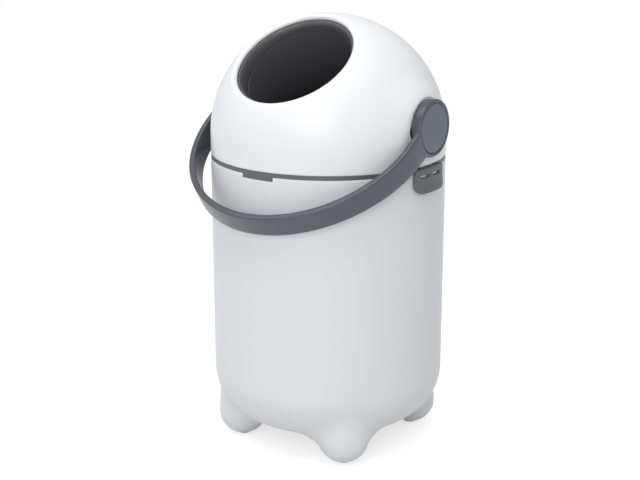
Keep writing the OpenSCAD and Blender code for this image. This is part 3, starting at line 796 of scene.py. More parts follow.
def cup_parts(sizes, turn):
    """Cup with its rounded floor, cut to the round shell that it turns with."""
    wall, edge = 2.5 * MM, 0.4 * MM
    r, ball, bend = sizes.chute_radius, sizes.shell_radius, sizes.cup_rounding
    out, floor = r + wall, -sizes.cup_drop
    level = floor + bend
    rows = [ring(x * MM, floor, turn) for x in (0, 8, 16)]
    rows += [ring(x, z, turn) for x, z in arc(r - bend, level, bend, -90, 0, 26)]
    end = tube_ends(r, ball - edge, turn, sizes)
    rows += [ring(r, level * (1 - f) + end * f, turn) for f in np.linspace(0, 1, 9)[1:]]
    last = tube_ends(out, ball, turn, sizes)
    rows += [ring(r + edge, tube_ends(r + edge, ball, turn, sizes), turn),
             ring(out - 0.2 * MM, last, turn), ring(out, last - 0.3 * MM, turn),
             ring(out, level, turn)]
    rows += [ring(x, z, turn) for x, z in arc(r - bend, level, bend + wall, 0, -90, 14)[1:]]
    rows.append(ring(0, floor - wall, turn))
    return [grid_part(moved(np.stack(rows), mouth_matrix(sizes)))]


class NAPPYBIN_OT_bowl(bpy.types.Operator):
    """Chute with its rounded lip in the mouth, and the cup that turns under it"""
    bl_idname = "nappybin.bowl"
    bl_label = "Chute and cup"

    def execute(self, context):
        sizes, drum = context.scene.head_sizes, context.scene.drum_sizes
        turn = around(240)
        make_piece("chute_wall", chute_parts(sizes, drum, turn), bowl_plastic(), "head",
                   ["chute"])
        # The cup's material darkens towards its floor: painted shade.
        make_piece("cup_wall", cup_parts(sizes, turn), cup_plastic_with_painted_shade(), "bowl", ["cup"])
        return {"FINISHED"}


def grip_middle(sizes):
    """Length of the flat handle from the turning axis to the middle of its grip."""
    return sizes.arm + math.pi / 2 * sizes.face


def strap_half(forward, sizes):
    """Half the strap's width at a distance forward of the turning axis, run into the round head."""
    tightness = 8
    share = np.clip(1 - forward / (sizes.arm + sizes.face), 0, 1)
    strap = sizes.width / 2 + (sizes.width_end - sizes.width) / 2 * share ** 2
    disc = np.sqrt(np.clip(sizes.head_radius ** 2 - forward ** 2, 0, None))
    return (strap ** tightness + disc ** tightness) ** (1 / tightness)


def handle_outline(sizes):
    """Half outline of the handle laid flat, from the back of one head to the middle of the grip."""
    radius, arm, face = sizes.head_radius, sizes.arm, sizes.face
    back = arc(0, 0, radius, 180, 93, 29)
    head = [x for x, _ in arc(0, 0, radius, 90, 36, 27)]
    straight = np.linspace(head[-1] + 1 * MM, arm, 15)
    bend = arm + np.linspace(0, math.pi / 2 * face, 61)[1:]
    s = np.concatenate([head, straight, bend])
    forward = np.where(s <= arm, s, arm + face * np.sin((s - arm) / face))
    return np.concatenate([back, np.stack([s, strap_half(forward, sizes)], 1)])


def handle_place(sizes, head):
    """Maps a point of the flat handle, with its depth under the outer face, into the part."""
    half = grip_middle(sizes)
    slope = math.cos(sizes.drop), math.sin(sizes.drop)
    thicker, run = sizes.grip_depth / sizes.thickness - 1, math.radians(40)

    def place(s, t, depth):
        """Places of points at s along the handle, t across it and depth under its face."""
        mirrored = s > half
        along = np.where(mirrored, 2 * half - s, s)
        turn = np.clip((along - sizes.arm) / sizes.face, 0, None)
        share = np.clip(turn / run, 0, 1)
        r = sizes.face - depth * (1 + thicker * share * share * (3 - 2 * share))
        x = np.where(along <= sizes.arm, r, r * np.cos(turn))
        y = np.where(along <= sizes.arm, -along, -sizes.arm - r * np.sin(turn))
        x = np.where(mirrored, -x, x)
        return np.stack([x, y * slope[0] - t * slope[1],
                         head.pivot_height + y * slope[1] + t * slope[0]], 1)
    return place


def strap_parts(sizes, head, recess):
    """The strap with its two round faces, each with a round recess for a cap."""
    half = grip_middle(sizes)
    upper = handle_outline(sizes)
    mirrored = upper[:-1][::-1] * (-1, 1) + (2 * half, 0)
    upper = np.concatenate([upper, mirrored])
    lower = (upper * (1, -1))[1:-1][::-1]
    outline = np.concatenate([upper, lower])[::-1]
    forward = np.minimum(outline[:, 0], 2 * half - outline[:, 0])
    free_from, run, least = 31.5 * MM, 4 * MM, 0.2 * MM
    back = np.clip((forward - free_from) / run, 0, 1) * (sizes.edge - least)
    holes = [ring(recess, 0, -around(120))[:, :2] + (at, 0) for at in (0, 2 * half)]
    return developed_plate(outline, holes, sizes.thickness, sizes.edge, back, 4.2 * MM,
                           handle_place(sizes, head))


def head_part(sizes, head, side, recess):
    """The thick back of a round head, from the floor of its recess to its inner face."""
    face, edge = sizes.face, sizes.edge
    radius, step = sizes.head_radius, 0.6 * MM
    floor, back, bore = face - 2.6 * MM, face - sizes.thickness, recess + 0.4 * MM
    line = [(0, floor), (bore, floor), (bore, back), (radius, back),
            (radius - step, back - 0.3 * MM)]
    line += arc(radius - step - edge, face - sizes.head_depth + edge, edge, 0, -90, 5)
    line += [(0, face - sizes.head_depth)]
    return grid_part(moved(spun(line, around(120)), side_matrix(head, side)))


def cap_part(sizes, head, side):
    """A slightly domed cap, just under the face of its head."""
    r, face = sizes.cap_radius, sizes.face - 0.15 * MM
    edge, thickness = 0.8 * MM, 2.2 * MM
    line = [(0, face), (r * 0.5, face - 0.02 * MM), (r - edge - 1 * MM, face - 0.1 * MM)]
    line += arc(r - edge, face - 0.12 * MM - edge, edge, 90, 0, 6)
    line += [(r, face - thickness), (0, face - thickness)]
    return grid_part(moved(spun(line, around(120)), side_matrix(head, side)))


class NAPPYBIN_OT_handle(bpy.types.Operator):
    """Bail handle with rounded edges, its two round heads and their inset caps"""
    bl_idname = "nappybin.handle"
    bl_label = "Handle"

    def execute(self, context):
        sizes, head = context.scene.handle_sizes, context.scene.head_sizes
        recess = sizes.cap_radius + 0.5 * MM
        parts = strap_parts(sizes, head, recess)
        parts += [head_part(sizes, head, side, recess) for side in (1, -1)]
        make_piece("handle_bail", parts, handle_plastic(), "bowl", ["handle"])
        for side, word in ((1, "right"), (-1, "left")):
            make_piece(f"handle_cap_disc_{word}", [cap_part(sizes, head, side)], cap_plastic(),
                       "bowl", [f"handle_cap_{word}"])
        return {"FINISHED"}


def catch_place(sizes, drum):
    """Maps a point of the flat catch, with its depth under the outer face, onto the bin's side."""
    outer, steepness = drum.radius + sizes.stand_off + sizes.thickness, 1.6
    bend = sizes.top - sizes.height + sizes.flare_height

    def place(s, t, depth):
        """Places of points at s along the plate, at height t and depth under its face."""
        down = np.clip((bend - t) / sizes.flare_height, 0, None)
        return ring(outer + sizes.flare * down ** steepness - depth, t, s / outer)
    return place


def rounded_loop(corners, rounding, steps=4):
    """Closed loop through corners, each rounded off, in the order given."""
    corners = [np.array(c, float) for c in corners]
    loop = []
    for i, corner in enumerate(corners):
        before, after = corners[i - 1] - corner, corners[(i + 1) % len(corners)] - corner
        before, after = before / np.linalg.norm(before), after / np.linalg.norm(after)
        half = math.acos(np.clip(before @ after, -1, 1)) / 2
        reach = rounding / math.tan(half)
        middle = corner + (before + after) / np.linalg.norm(before + after) * (
            rounding / math.sin(half))
        first, last = corner + before * reach - middle, corner + after * reach - middle
        for f in np.linspace(0, 1, steps + 1):
            way = first * (1 - f) + last * f
            loop.append(middle + way / np.linalg.norm(way) * rounding)
    return np.array(loop)


def spread_loop(loop, longest):
    """The loop with extra points, so that no side is longer than given."""
    out = []
    for a, b in zip(loop, np.roll(loop, -1, 0)):
        count = max(1, math.ceil(np.linalg.norm(b - a) / longest))
        out += [a + (b - a) * i / count for i in range(count)]
    return np.array(out)


def catch_parts(sizes, drum):
    """The right catch: curved plate with two slots, and the hinge knuckles at its top."""
    half, top = sizes.width / 2, sizes.top
    low = top - sizes.height
    wide, high, shoulder = 14 * MM, 10 * MM, 5.5 * MM
    outline = arc(-half + wide, low + high, wide, 180, 270, 12, high)
    outline += arc(half - wide, low + high, wide, 270, 360, 12, high)
    outline += arc(half - shoulder, top - shoulder, shoulder, 0, 90, 8)
    outline += arc(-half + shoulder, top - shoulder, shoulder, 90, 180, 8)
    slot_top = top - sizes.slot_drop
    slot_low = slot_top - sizes.slot_height
    slots = []
    for y0 in reversed(slot_starts(sizes)):
        y1 = y0 + sizes.slot_width
        corners = [(y0, slot_low), (y0, slot_top), (y1, slot_top), (y1, slot_low)]
        slots.append(spread_loop(rounded_loop(corners, 0.7 * MM), 2.5 * MM))
    parts = developed_plate(spread_loop(np.array(outline), 3 * MM), slots, sizes.thickness,
                            0.8 * MM, 0.5 * MM, 3.2 * MM, catch_place(sizes, drum), 3)
    pin_x, pin_z, knuckle, edge = drum.radius - 2.8 * MM, top - 0.9 * MM, 1.7 * MM, 0.4 * MM
    hinge = Matrix.Translation((pin_x, 0, pin_z)) @ Matrix.Rotation(-math.pi / 2, 4, "X")
    for y0, y1 in ((-11.7 * MM, -3.3 * MM), (3.3 * MM, 11.7 * MM)):
        line = [(0, y0)] + arc(knuckle, y0 + edge, edge, -90, 0, 3)
        line += arc(knuckle, y1 - edge, edge, 0, 90, 3) + [(0, y1)]
        parts.append(grid_part(moved(spun(line, around(32)), hinge)))
        parts.append(block((pin_x, y0, top - 2.2 * MM), (drum.radius + 1.8 * MM, y1,
                                                         top - 0.3 * MM)))
    return parts


class NAPPYBIN_OT_catches(bpy.types.Operator):
    """Side catches: curved plates with rounded edges, flared lower ends and two slots each"""
    bl_idname = "nappybin.catches"
    bl_label = "Side catches"

    def execute(self, context):
        parts = catch_parts(context.scene.catch_sizes, context.scene.drum_sizes)
        for word, turn in (("right", 0), ("left", math.pi)):
            matrix = Matrix.Rotation(turn, 4, "Z")
            placed = [(moved(points, matrix), faces) for points, faces in parts]
            make_piece(f"catch_plate_{word}", placed, grey_plastic(), f"{word}_catch",
                       [f"catch_{word}"])
        return {"FINISHED"}


def new_group(name, inputs, outputs):
    """An empty shader node group with number and colour sockets."""
    group = bpy.data.node_groups.new(name, "ShaderNodeTree")
    kinds = {"F": "NodeSocketFloat", "C": "NodeSocketColor"}
    for label, kind, value in inputs:
        socket = group.interface.new_socket(label, in_out="INPUT", socket_type=kinds[kind])
        socket.default_value = value
    for label, kind in outputs:
        group.interface.new_socket(label, in_out="OUTPUT", socket_type=kinds[kind])
    group.nodes.new("NodeGroupInput").name = "In"
    group.nodes.new("NodeGroupOutput").name = "Out"
    return group


def node(tree, kind, links=None, **settings):
    """A new node with its settings and links; in_ with a number sets that input's value."""
    made = tree.nodes.new(kind)
    for key, value in settings.items():
        if key.startswith("in_"):
            made.inputs[int(key[3:])].default_value = value
        else:
            setattr(made, key, value)
    for key, socket in (links or {}).items():
        tree.links.new(socket, made.inputs[key])
    return made


def maths(tree, operation, a, b=None, clamp=False):
    """A Math node fed by sockets or numbers; returns its output."""
    made = node(tree, "ShaderNodeMath", operation=operation, use_clamp=clamp)
    for socket, value in zip(made.inputs, (a, b)):
        if isinstance(value, (int, float)):
            socket.default_value = value
        elif value is not None:
            tree.links.new(value, socket)
    return made.outputs[0]


def scaled(tree, colour, share):
    """A colour times a number; returns the socket."""
    return node(tree, "ShaderNodeVectorMath", {0: colour, "Scale": share},
                operation="SCALE").outputs[0]


def noise(tree, place, seed, **settings):
    """A 4D Noise Texture read at a place, with its seed; settings as for node."""
    return node(tree, "ShaderNodeTexNoise", {"Vector": place, "W": seed},
                noise_dimensions="4D", **settings)


def moulded_group():
    """Fine spark-eroded grain with slow colour drift, as on injection-moulded plastic."""
    if "Moulded grain" in bpy.data.node_groups:
        return bpy.data.node_groups["Moulded grain"]
    g = new_group("Moulded grain",
                  [("Colour", "C", (0.8, 0.8, 0.8, 1)), ("Drift", "F", 0.03),
                   ("Roughness", "F", 0.4), ("Roughness spread", "F", 0.06),
                   ("Grain size", "F", 0.0005), ("Seed", "F", 0.0)],
                  [("Colour", "C"), ("Roughness", "F"), ("Height", "F")])
    give, take = g.nodes["In"].outputs, g.nodes["Out"].inputs
    place = node(g, "ShaderNodeTexCoord").outputs["Object"]
    fine = noise(g, place, give["Seed"], in_3=3.0, in_4=0.55)
    g.links.new(maths(g, "DIVIDE", 1.0, give["Grain size"]), fine.inputs["Scale"])
    slow = noise(g, place, give["Seed"], in_2=9.0, in_3=2.0, in_4=0.5)
    cloud = noise(g, place, give["Seed"], in_2=70.0, in_3=4.0, in_4=0.6)
    drift = maths(g, "MULTIPLY", maths(g, "SUBTRACT", slow.outputs["Fac"], 0.5), give["Drift"])
    bright = maths(g, "ADD", maths(g, "MULTIPLY", drift, 2.0), 1.0)
    g.links.new(scaled(g, give["Colour"], bright), take["Colour"])
    rough = maths(g, "MULTIPLY", maths(g, "SUBTRACT", cloud.outputs["Fac"], 0.5),
                  give["Roughness spread"])
    g.links.new(maths(g, "ADD", rough, give["Roughness"], clamp=True), take["Roughness"])
    g.links.new(fine.outputs["Fac"], take["Height"])
    return g


def wear_group():
    """Worn edges from the edge_wear attribute, broken up, and fine scuffs."""
    if "Wear" in bpy.data.node_groups:
        return bpy.data.node_groups["Wear"]
    g = new_group("Wear", [("Edge amount", "F", 0.5), ("Scuff amount", "F", 0.1),
                           ("Scuff size", "F", 0.01), ("Seed", "F", 0.0)],
                  [("Edges", "F"), ("Scuffs", "F")])
    give, take = g.nodes["In"].outputs, g.nodes["Out"].inputs
    place = node(g, "ShaderNodeTexCoord").outputs["Object"]
    edge = node(g, "ShaderNodeAttribute", attribute_name="edge_wear")
    broken = noise(g, place, give["Seed"], in_2=160.0, in_3=3.0, in_4=0.6)
    patch = node(g, "ShaderNodeMapRange", {"Value": broken.outputs["Fac"]},
                 in_1=0.42, in_2=0.68, in_3=0.0, in_4=1.0)
    edges = maths(g, "MULTIPLY", edge.outputs["Fac"], patch.outputs[0])
    g.links.new(maths(g, "MULTIPLY", edges, give["Edge amount"], clamp=True), take["Edges"])
    stretch = node(g, "ShaderNodeMapping", {"Vector": place}, vector_type="POINT")
    stretch.inputs["Scale"].default_value = (1.0, 1.0, 7.0)
    stretch.inputs["Rotation"].default_value = (0.5, 0.3, 0.2)
    scuff = noise(g, stretch.outputs[0], give["Seed"], in_3=5.0, in_4=0.7)
    g.links.new(maths(g, "DIVIDE", 1.0, give["Scuff size"]), scuff.inputs["Scale"])
    thin = node(g, "ShaderNodeMapRange", {"Value": scuff.outputs["Fac"]},
                in_1=0.6, in_2=0.75, in_3=0.0, in_4=1.0)
    g.links.new(maths(g, "MULTIPLY", thin.outputs[0], give["Scuff amount"], clamp=True),
                take["Scuffs"])
    return g


def placed_group(tree, group, settings):
    """A shader group placed in a material with its own values."""
    made = node(tree, "ShaderNodeGroup", node_tree=group)
    for label, value in settings.items():
        made.inputs[label].default_value = value
    return made


def plastic(name, colour, roughness, drift=0.02, spread=0.06, bump=0.08, coat=0.0, edge=0.25,
            scuff=0.1, seed=0.0, specular=0.5, metallic=0.0):
    """Material of one moulded plastic, rubber or plated metal, from the shared groups."""
    if name in bpy.data.materials:
        return bpy.data.materials[name]
    finishes = bpy.context.scene.finishes
    material = bpy.data.materials.new(name)
    material.use_nodes = True
    tree = material.node_tree
    shader = tree.nodes["Principled BSDF"].inputs
    for label, value in {"Metallic": metallic, "Specular IOR Level": specular,
                         "Coat Weight": coat, "Coat Roughness": 0.1}.items():
        shader[label].default_value = value
    grained = placed_group(tree, moulded_group(), {
        "Colour": (*colour, 1), "Drift": drift, "Roughness": roughness,
        "Roughness spread": spread, "Grain size": finishes.grain,
        "Seed": seed + finishes.sample}).outputs
    worn = placed_group(tree, wear_group(), {
        "Edge amount": edge, "Scuff amount": scuff, "Scuff size": 0.012,
        "Seed": seed + 3.0}).outputs
    mix = node(tree, "ShaderNodeMix", data_type="RGBA")
    mix.inputs["B"].default_value = (*(min(1, c * 1.35 + 0.02) for c in colour), 1)
    tree.links.new(worn["Edges"], mix.inputs["Factor"])
    tree.links.new(grained["Colour"], mix.inputs["A"])
    tree.links.new(mix.outputs["Result"], shader["Base Color"])
    rough = maths(tree, "ADD", grained["Roughness"],
                  maths(tree, "MULTIPLY", worn["Scuffs"], 0.25), clamp=True)
    tree.links.new(rough, shader["Roughness"])
    height = maths(tree, "SUBTRACT", grained["Height"],
                   maths(tree, "MULTIPLY", worn["Scuffs"], 0.6))
    relief = node(tree, "ShaderNodeBump", {"Height": height})
    relief.inputs["Strength"].default_value = bump
    relief.inputs["Distance"].default_value = 0.05 * MM
    tree.links.new(relief.outputs["Normal"], shader["Normal"])
    return material


def dome_plastic():
    """Gloss white, almost without grain."""
    return plastic("Gloss white plastic", bpy.context.scene.finishes.dome, 0.36, drift=0.003,
                   spread=0.015, bump=0.02, coat=0.05, edge=0.1, scuff=0.0, seed=1.0)


def bin_plastic():
    """Satin grey-white with a fine grain."""
    return plastic("Satin white plastic", bpy.context.scene.finishes.drum, 0.42, drift=0.005,
                   spread=0.03, bump=0.06, edge=0.1, scuff=0.03, seed=2.0, specular=0.3)


def handle_plastic():
    """Slate grey, handled often, with a soft gloss."""
    return plastic("Slate plastic", bpy.context.scene.finishes.slate, 0.31, drift=0.05,
                   spread=0.08, bump=0.16, edge=0.30, scuff=0.20, seed=3.0, specular=0.7)


def cap_plastic():
    """The handle's slate in a lighter, bluer and matter shade."""
    slate, lift = bpy.context.scene.finishes.slate, (2.25, 2.36, 2.38)
    return plastic("Slate cap plastic", tuple(c * k for c, k in zip(slate, lift)), 0.46,
                   drift=0.04, spread=0.06, bump=0.12, edge=0.25, scuff=0.15, seed=4.0)


def grey_plastic():
    """Neutral grey of the bag ring, the dome's plate and the catches."""
    return plastic("Grey plastic", bpy.context.scene.finishes.grey, 0.48, drift=0.04,
                   spread=0.07, bump=0.18, edge=0.30, scuff=0.12, seed=5.0)


def bowl_plastic(name="Charcoal plastic"):
    """Charcoal of the chute, the cup and the round shell."""
    return plastic(name, bpy.context.scene.finishes.charcoal, 0.42, drift=0.05, spread=0.08,
                   bump=0.10, edge=0.25, scuff=0.15, seed=6.0)


def soft_seal():
    """Dull black seal rubber."""
    return plastic("Soft black seal", (0.03, 0.03, 0.032), 0.7, bump=0.2, seed=7.0)


def pad_rubber():
    """Dull pale rubber of the foot pads."""
    return plastic("Pale rubber", (0.55, 0.56, 0.57), 0.75, bump=0.3, seed=8.0)


def plated_steel():
    """Steel with a bright zinc plating."""
    return plastic("Zinc plated steel", (0.62, 0.62, 0.64), 0.3, metallic=1.0, bump=0.1, seed=9.0)


def natural_acetal():
    """Uncoloured plastic of the bushes and hubs."""
    return plastic("Natural acetal", (0.78, 0.76, 0.70), 0.4, seed=10.0)


def painted_cup_shade_group():
    """Painted shade for the cup: share of the colour that is left, from 1 at the cup's rim down to
    less at its floor, as light falls off deep inside it.
    """
    g = new_group("Depth", [("Left at floor", "F", 0.5)], [("Share", "F")])
    give, take = g.nodes["In"].outputs, g.nodes["Out"].inputs
    matrix = mouth_matrix(bpy.context.scene.head_sizes)
    axis = matrix.to_3x3() @ Vector((0, 0, 1))
    centre = matrix.translation.dot(axis)
    place = node(g, "ShaderNodeTexCoord").outputs["Object"]
    along = node(g, "ShaderNodeVectorMath", {0: place}, operation="DOT_PRODUCT", in_1=tuple(axis))
    span = node(g, "ShaderNodeMapRange", {"Value": along.outputs["Value"],
                                          3: give["Left at floor"]},
                in_1=centre - 0.03, in_2=centre + 0.095, in_4=1.0,
                interpolation_type="SMOOTHSTEP")
    g.links.new(span.outputs[0], take["Share"])
    return g


def cup_plastic_with_painted_shade():
    """Charcoal with painted shade: darker towards the cup's floor, where less light reaches."""
    material = bowl_plastic("Cup plastic")
    tree = material.node_tree
    base = tree.nodes["Principled BSDF"].inputs["Base Color"]
    # Painted shade: the charcoal is scaled down with depth in the cup; the plastic itself is one
    # colour.
    painted_shade = placed_group(tree, painted_cup_shade_group(), {"Left at floor": 0.12})
    tree.links.new(scaled(tree, base.links[0].from_socket, painted_shade.outputs["Share"]), base)
    return material


def turned_tree():
    """Node tree that turns a profile into a round piece and sets it on points."""
    if "Turned pieces" in bpy.data.node_groups:
        return bpy.data.node_groups["Turned pieces"]
    tree = bpy.data.node_groups.new("Turned pieces", "GeometryNodeTree")
    for label, kind in (("Geometry", "Geometry"), ("Profile", "Object"), ("Columns", "Int"),
                        ("Flat distance", "Float"), ("Recess length", "Float"),
                        ("Recess width", "Float"), ("Recess depth", "Float"),
                        ("Material", "Material")):
        tree.interface.new_socket(label, in_out="INPUT", socket_type="NodeSocket" + kind)
    tree.interface.new_socket("Geometry", in_out="OUTPUT", socket_type="NodeSocketGeometry")
    give = tree.nodes.new("NodeGroupInput").outputs
    take = tree.nodes.new("NodeGroupOutput").inputs

    profile = node(tree, "GeometryNodeObjectInfo", {"Object": give["Profile"]}).outputs["Geometry"]
    rows = node(tree, "GeometryNodeAttributeDomainSize", {0: profile}).outputs["Point Count"]
    grid = node(tree, "GeometryNodeMeshGrid", {
        "Vertices X": maths(tree, "ADD", give["Columns"], 1.0), "Vertices Y": rows})
    index = node(tree, "GeometryNodeInputIndex").outputs[0]
    column = maths(tree, "FLOOR", maths(tree, "DIVIDE", index, rows))
    turn = maths(tree, "DIVIDE", maths(tree, "MULTIPLY", column, FULL_TURN), give["Columns"])
    sample = node(tree, "GeometryNodeSampleIndex", {
        "Geometry": profile, "Value": node(tree, "GeometryNodeInputPosition").outputs[0],
        "Index": maths(tree, "MODULO", index, rows)}, data_type="FLOAT_VECTOR", domain="POINT")
    point = node(tree, "ShaderNodeSeparateXYZ", {0: sample.outputs["Value"]}).outputs
    flat = maths(tree, "ADD", give["Flat distance"], point["Y"])
    across = maths(tree, "MULTIPLY", point["X"], maths(tree, "COSINE", turn))
    across = maths(tree, "MINIMUM", across, flat)
    across = maths(tree, "MAXIMUM", across, maths(tree, "MULTIPLY", flat, -1.0))
    spot = node(tree, "ShaderNodeCombineXYZ", {
        "X": across, "Y": maths(tree, "MULTIPLY", point["X"], maths(tree, "SINE", turn)),
        "Z": point["Z"]})
    place = node(tree, "GeometryNodeSetPosition", {
        "Geometry": grid.outputs["Mesh"], "Position": spot.outputs[0]})
    weld = node(tree, "GeometryNodeMergeByDistance", {"Geometry": place.outputs[0]})
    weld.inputs["Distance"].default_value = WELD

    cutters = node(tree, "GeometryNodeJoinGeometry")
    for long, wide in (("X", "Y"), ("Y", "X")):
        size = node(tree, "ShaderNodeCombineXYZ", {
            long: give["Recess length"], wide: give["Recess width"],
            "Z": maths(tree, "MULTIPLY", give["Recess depth"], 2.0)})
        cube = node(tree, "GeometryNodeMeshCube", {"Size": size.outputs[0]})
        tree.links.new(cube.outputs["Mesh"], cutters.inputs[0])
    cut = node(tree, "GeometryNodeMeshBoolean", {
        "Mesh 1": weld.outputs[0], "Mesh 2": cutters.outputs[0]}, operation="DIFFERENCE")
    chosen = node(tree, "GeometryNodeSwitch", {
        "Switch": maths(tree, "GREATER_THAN", give["Recess depth"], 0.0),
        "False": weld.outputs[0], "True": cut.outputs[0]}, input_type="GEOMETRY")

    way = node(tree, "GeometryNodeInputNamedAttribute", data_type="FLOAT_VECTOR")
    way.inputs["Name"].default_value = "direction"
    aim = node(tree, "FunctionNodeAlignRotationToVector", {"Vector": way.outputs["Attribute"]},
               axis="Z")
    copies = node(tree, "GeometryNodeInstanceOnPoints", {
        "Points": give["Geometry"], "Instance": chosen.outputs[0], "Rotation": aim.outputs[0]})
    real = node(tree, "GeometryNodeRealizeInstances", {0: copies.outputs[0]})
    painted = node(tree, "GeometryNodeSetMaterial", {
        "Geometry": real.outputs[0], "Material": give["Material"]})
    tree.links.new(painted.outputs[0], take["Geometry"])
    return tree


def turned_pieces(name, spots, profile, material, body, node_name, columns, flat=1.0,
                  recess=(0.0, 0.0, 0.0)):
    """Round pieces on (place, direction) spots from a closed profile of (radius, height) pairs.

    A profile point may hold a third number, which moves the flats along X in at that point.
    The recess is a cross's length, width and depth.
    """
    line = bpy.data.meshes.new(name + "_profile")
    line.from_pydata([(p[0], p[2] if len(p) > 2 else 0.0, p[1]) for p in profile],
                     [(i, i + 1) for i in range(len(profile) - 1)], [])
    guide = new_object(line.name, line)
    mesh = bpy.data.meshes.new(name)
    mesh.from_pydata([tuple(place) for place, _ in spots], [], [])
    ways = mesh.attributes.new("direction", "FLOAT_VECTOR", "POINT")
    ways.data.foreach_set("vector", [c for _, way in spots for c in way])
    obj = new_object(name, mesh)
    tree = turned_tree()
    values = {"Profile": guide, "Columns": columns, "Flat distance": flat,
              "Recess length": recess[0], "Recess width": recess[1], "Recess depth": recess[2],
              "Material": material}
    build = obj.modifiers.new("Build", "NODES")
    build.node_group = tree
    for socket in tree.interface.items_tree:
        if socket.in_out == "INPUT" and socket.name in values:
            build[socket.identifier] = values[socket.name]
    applied(obj)
    bpy.data.objects.remove(guide)
    bm = bmesh.new()
    bm.from_mesh(obj.data)
    bmesh.ops.dissolve_degenerate(bm, edges=bm.edges, dist=WELD / 2)
    bmesh.ops.recalc_face_normals(bm, faces=bm.faces)
    bm.to_mesh(obj.data)
    bm.free()
    return finish_piece(obj, material, body, [node_name])


def pan_screw(head, head_t, shank, length):
    """Profile of a screw with a rounded head: its top at height 0, its shank downwards."""
    bulge, edge = 1.0, 0.2 * MM
    dome = [(head * math.sin(a) / math.sin(bulge),
             -0.45 * head_t * (1 - math.cos(a)) / (1 - math.cos(bulge)))
            for a in np.linspace(0, bulge, 7)]
    return dome + [(head, -head_t + edge), (head - edge, -head_t), (shank, -head_t),
                   (shank, -length + shank), (0, -length)]


def ring_spots(matrix, radius, height, angles, way=-1):
    """Spots on a circle round a frame's Z axis, all facing along it: up at 1 and down at -1."""
    direction = matrix.to_3x3() @ Vector((0, 0, way))
    return [(matrix @ Vector((radius * math.cos(math.radians(a)),
                              radius * math.sin(math.radians(a)), height)), direction)
            for a in angles]


def spread_angles(first, count):
    """Angles in degrees, spread evenly over a full turn from the first."""
    return [first + 360 / count * i for i in range(count)]


def screw_spots(sizes, drum):
    """Where the screws of each set sit, by the name of the set."""
    hub_radius, hub_face, head_floor = 21 * MM, 102.5 * MM, 144.4 * MM
    tilt = math.degrees(sizes.mouth_tilt)
    hubs, heads = [], []
    for side, first in ((1, 180 - tilt), (-1, tilt)):
        place = side_matrix(sizes, side)
        hubs += ring_spots(place, hub_radius, hub_face, spread_angles(first + 45, 4), 1)
        heads += ring_spots(place, 0, head_floor, (0,), 1)
    plate = ring_spots(Matrix.Identity(4), drum.radius - drum.wall - 4 * MM,
                       sizes.edge_height + 0.4 * MM, spread_angles(30, 6))
    chute = ring_spots(mouth_matrix(sizes), sizes.mouth_radius + sizes.ear_reach,
                       ear_level(sizes, drum) - 2 * MM, EAR_ANGLES)
    return {"plate": plate, "chute": chute, "hub": hubs, "handle": heads}


def pad_profile(radius):
    """Closed profile of a foot pad with a shallow dish in its face."""
    edge, thickness = 0.6 * MM, 4 * MM
    dish, dish_floor, dish_depth = 2.8 * MM, 2.2 * MM, 0.8 * MM
    return [(0, dish_depth), (dish_floor, dish_depth), (dish, 0), (radius - edge, 0),
            (radius, edge), (radius, thickness), (0, thickness)]


def closing_profile(sizes):
    """Closed profile of the half ball that closes the mouth, with flats cut along its sides."""
    outer, inner = sizes.shell_radius, sizes.shell_radius - 2.5 * MM
    last, edge, face, flat_in = math.pi / 2 - 0.006, 0.4 * MM, -0.15 * MM, -3 * MM
    line = [(outer * math.sin(a), -outer * math.cos(a)) for a in np.linspace(0, last, 60)]
    line += [(outer - edge, face, 0), (inner, face, flat_in)]
    line += [(inner * math.sin(a), -inner * math.cos(a), flat_in)
             for a in np.linspace(last, 0, 40)]
    return line


class NAPPYBIN_OT_turned(bpy.types.Operator):
    """Screws, foot pads and the round shell that closes the mouth, from one node tree"""
    bl_idname = "nappybin.turned"
    bl_label = "Turned pieces"

    def execute(self, context):
        sizes, drum = context.scene.head_sizes, context.scene.drum_sizes
        feet = ring_spots(Matrix.Identity(4), drum.pad_pitch, 0, spread_angles(45, 4), 1)
        turned_pieces("foot_pad_set", feet, pad_profile(drum.pad_radius), pad_rubber(), "bin",
                      "foot_pads", 48)
        spots = screw_spots(sizes, drum)
        for name, body, columns, screw, recess in SCREWS:
            turned_pieces(f"{name}_screw_set", spots[name], pan_screw(*(v * MM for v in screw)),
                          plated_steel(), body, f"{name}_screws", columns,
                          recess=[v * MM for v in recess])
        pivot, flat = pivot_matrix(sizes), 97 * MM
        turned_pieces("closing_shell_half", ring_spots(pivot, 0, 0, (0,), 1),
                      closing_profile(sizes), bowl_plastic(), "bowl",
                      "closing_shell", 192, flat)
        return {"FINISHED"}


CARRIED = (
    (grey_plastic, ("bag_ring", "dome_plate")),
    (bowl_plastic, ("mouth_shell",)),
    (soft_seal, ("lid_gasket", "wiper_seal")),
    (plated_steel, ("thrust_washers", "catch_pin_right", "catch_pin_left")),
    (natural_acetal, ("bush_right", "bush_left", "hub_right", "hub_left")),
)


class NAPPYBIN_OT_carried(bpy.types.Operator):
    """Materials of the CAD solids that are shown as they are"""
    bl_idname = "nappybin.carried"
    bl_label = "Carried solids"

    def execute(self, context):
        for material, names in CARRIED:
            for name in names:
                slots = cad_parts[name].data.materials
                slots.clear()
                slots.append(material())
        return {"FINISHED"}


def add_lamp(name, place, target, power, width, height):
    """A soft rectangular lamp that points at a place."""
    light = bpy.data.lights.new(name, "AREA")
    light.shape = "RECTANGLE"
    light.size, light.size_y = width, height
    light.energy = power
    lamp = new_object(name, light)
    lamp.location = place
    way = Vector(target) - lamp.location
    lamp.rotation_euler = way.to_track_quat("-Z", "Y").to_euler()


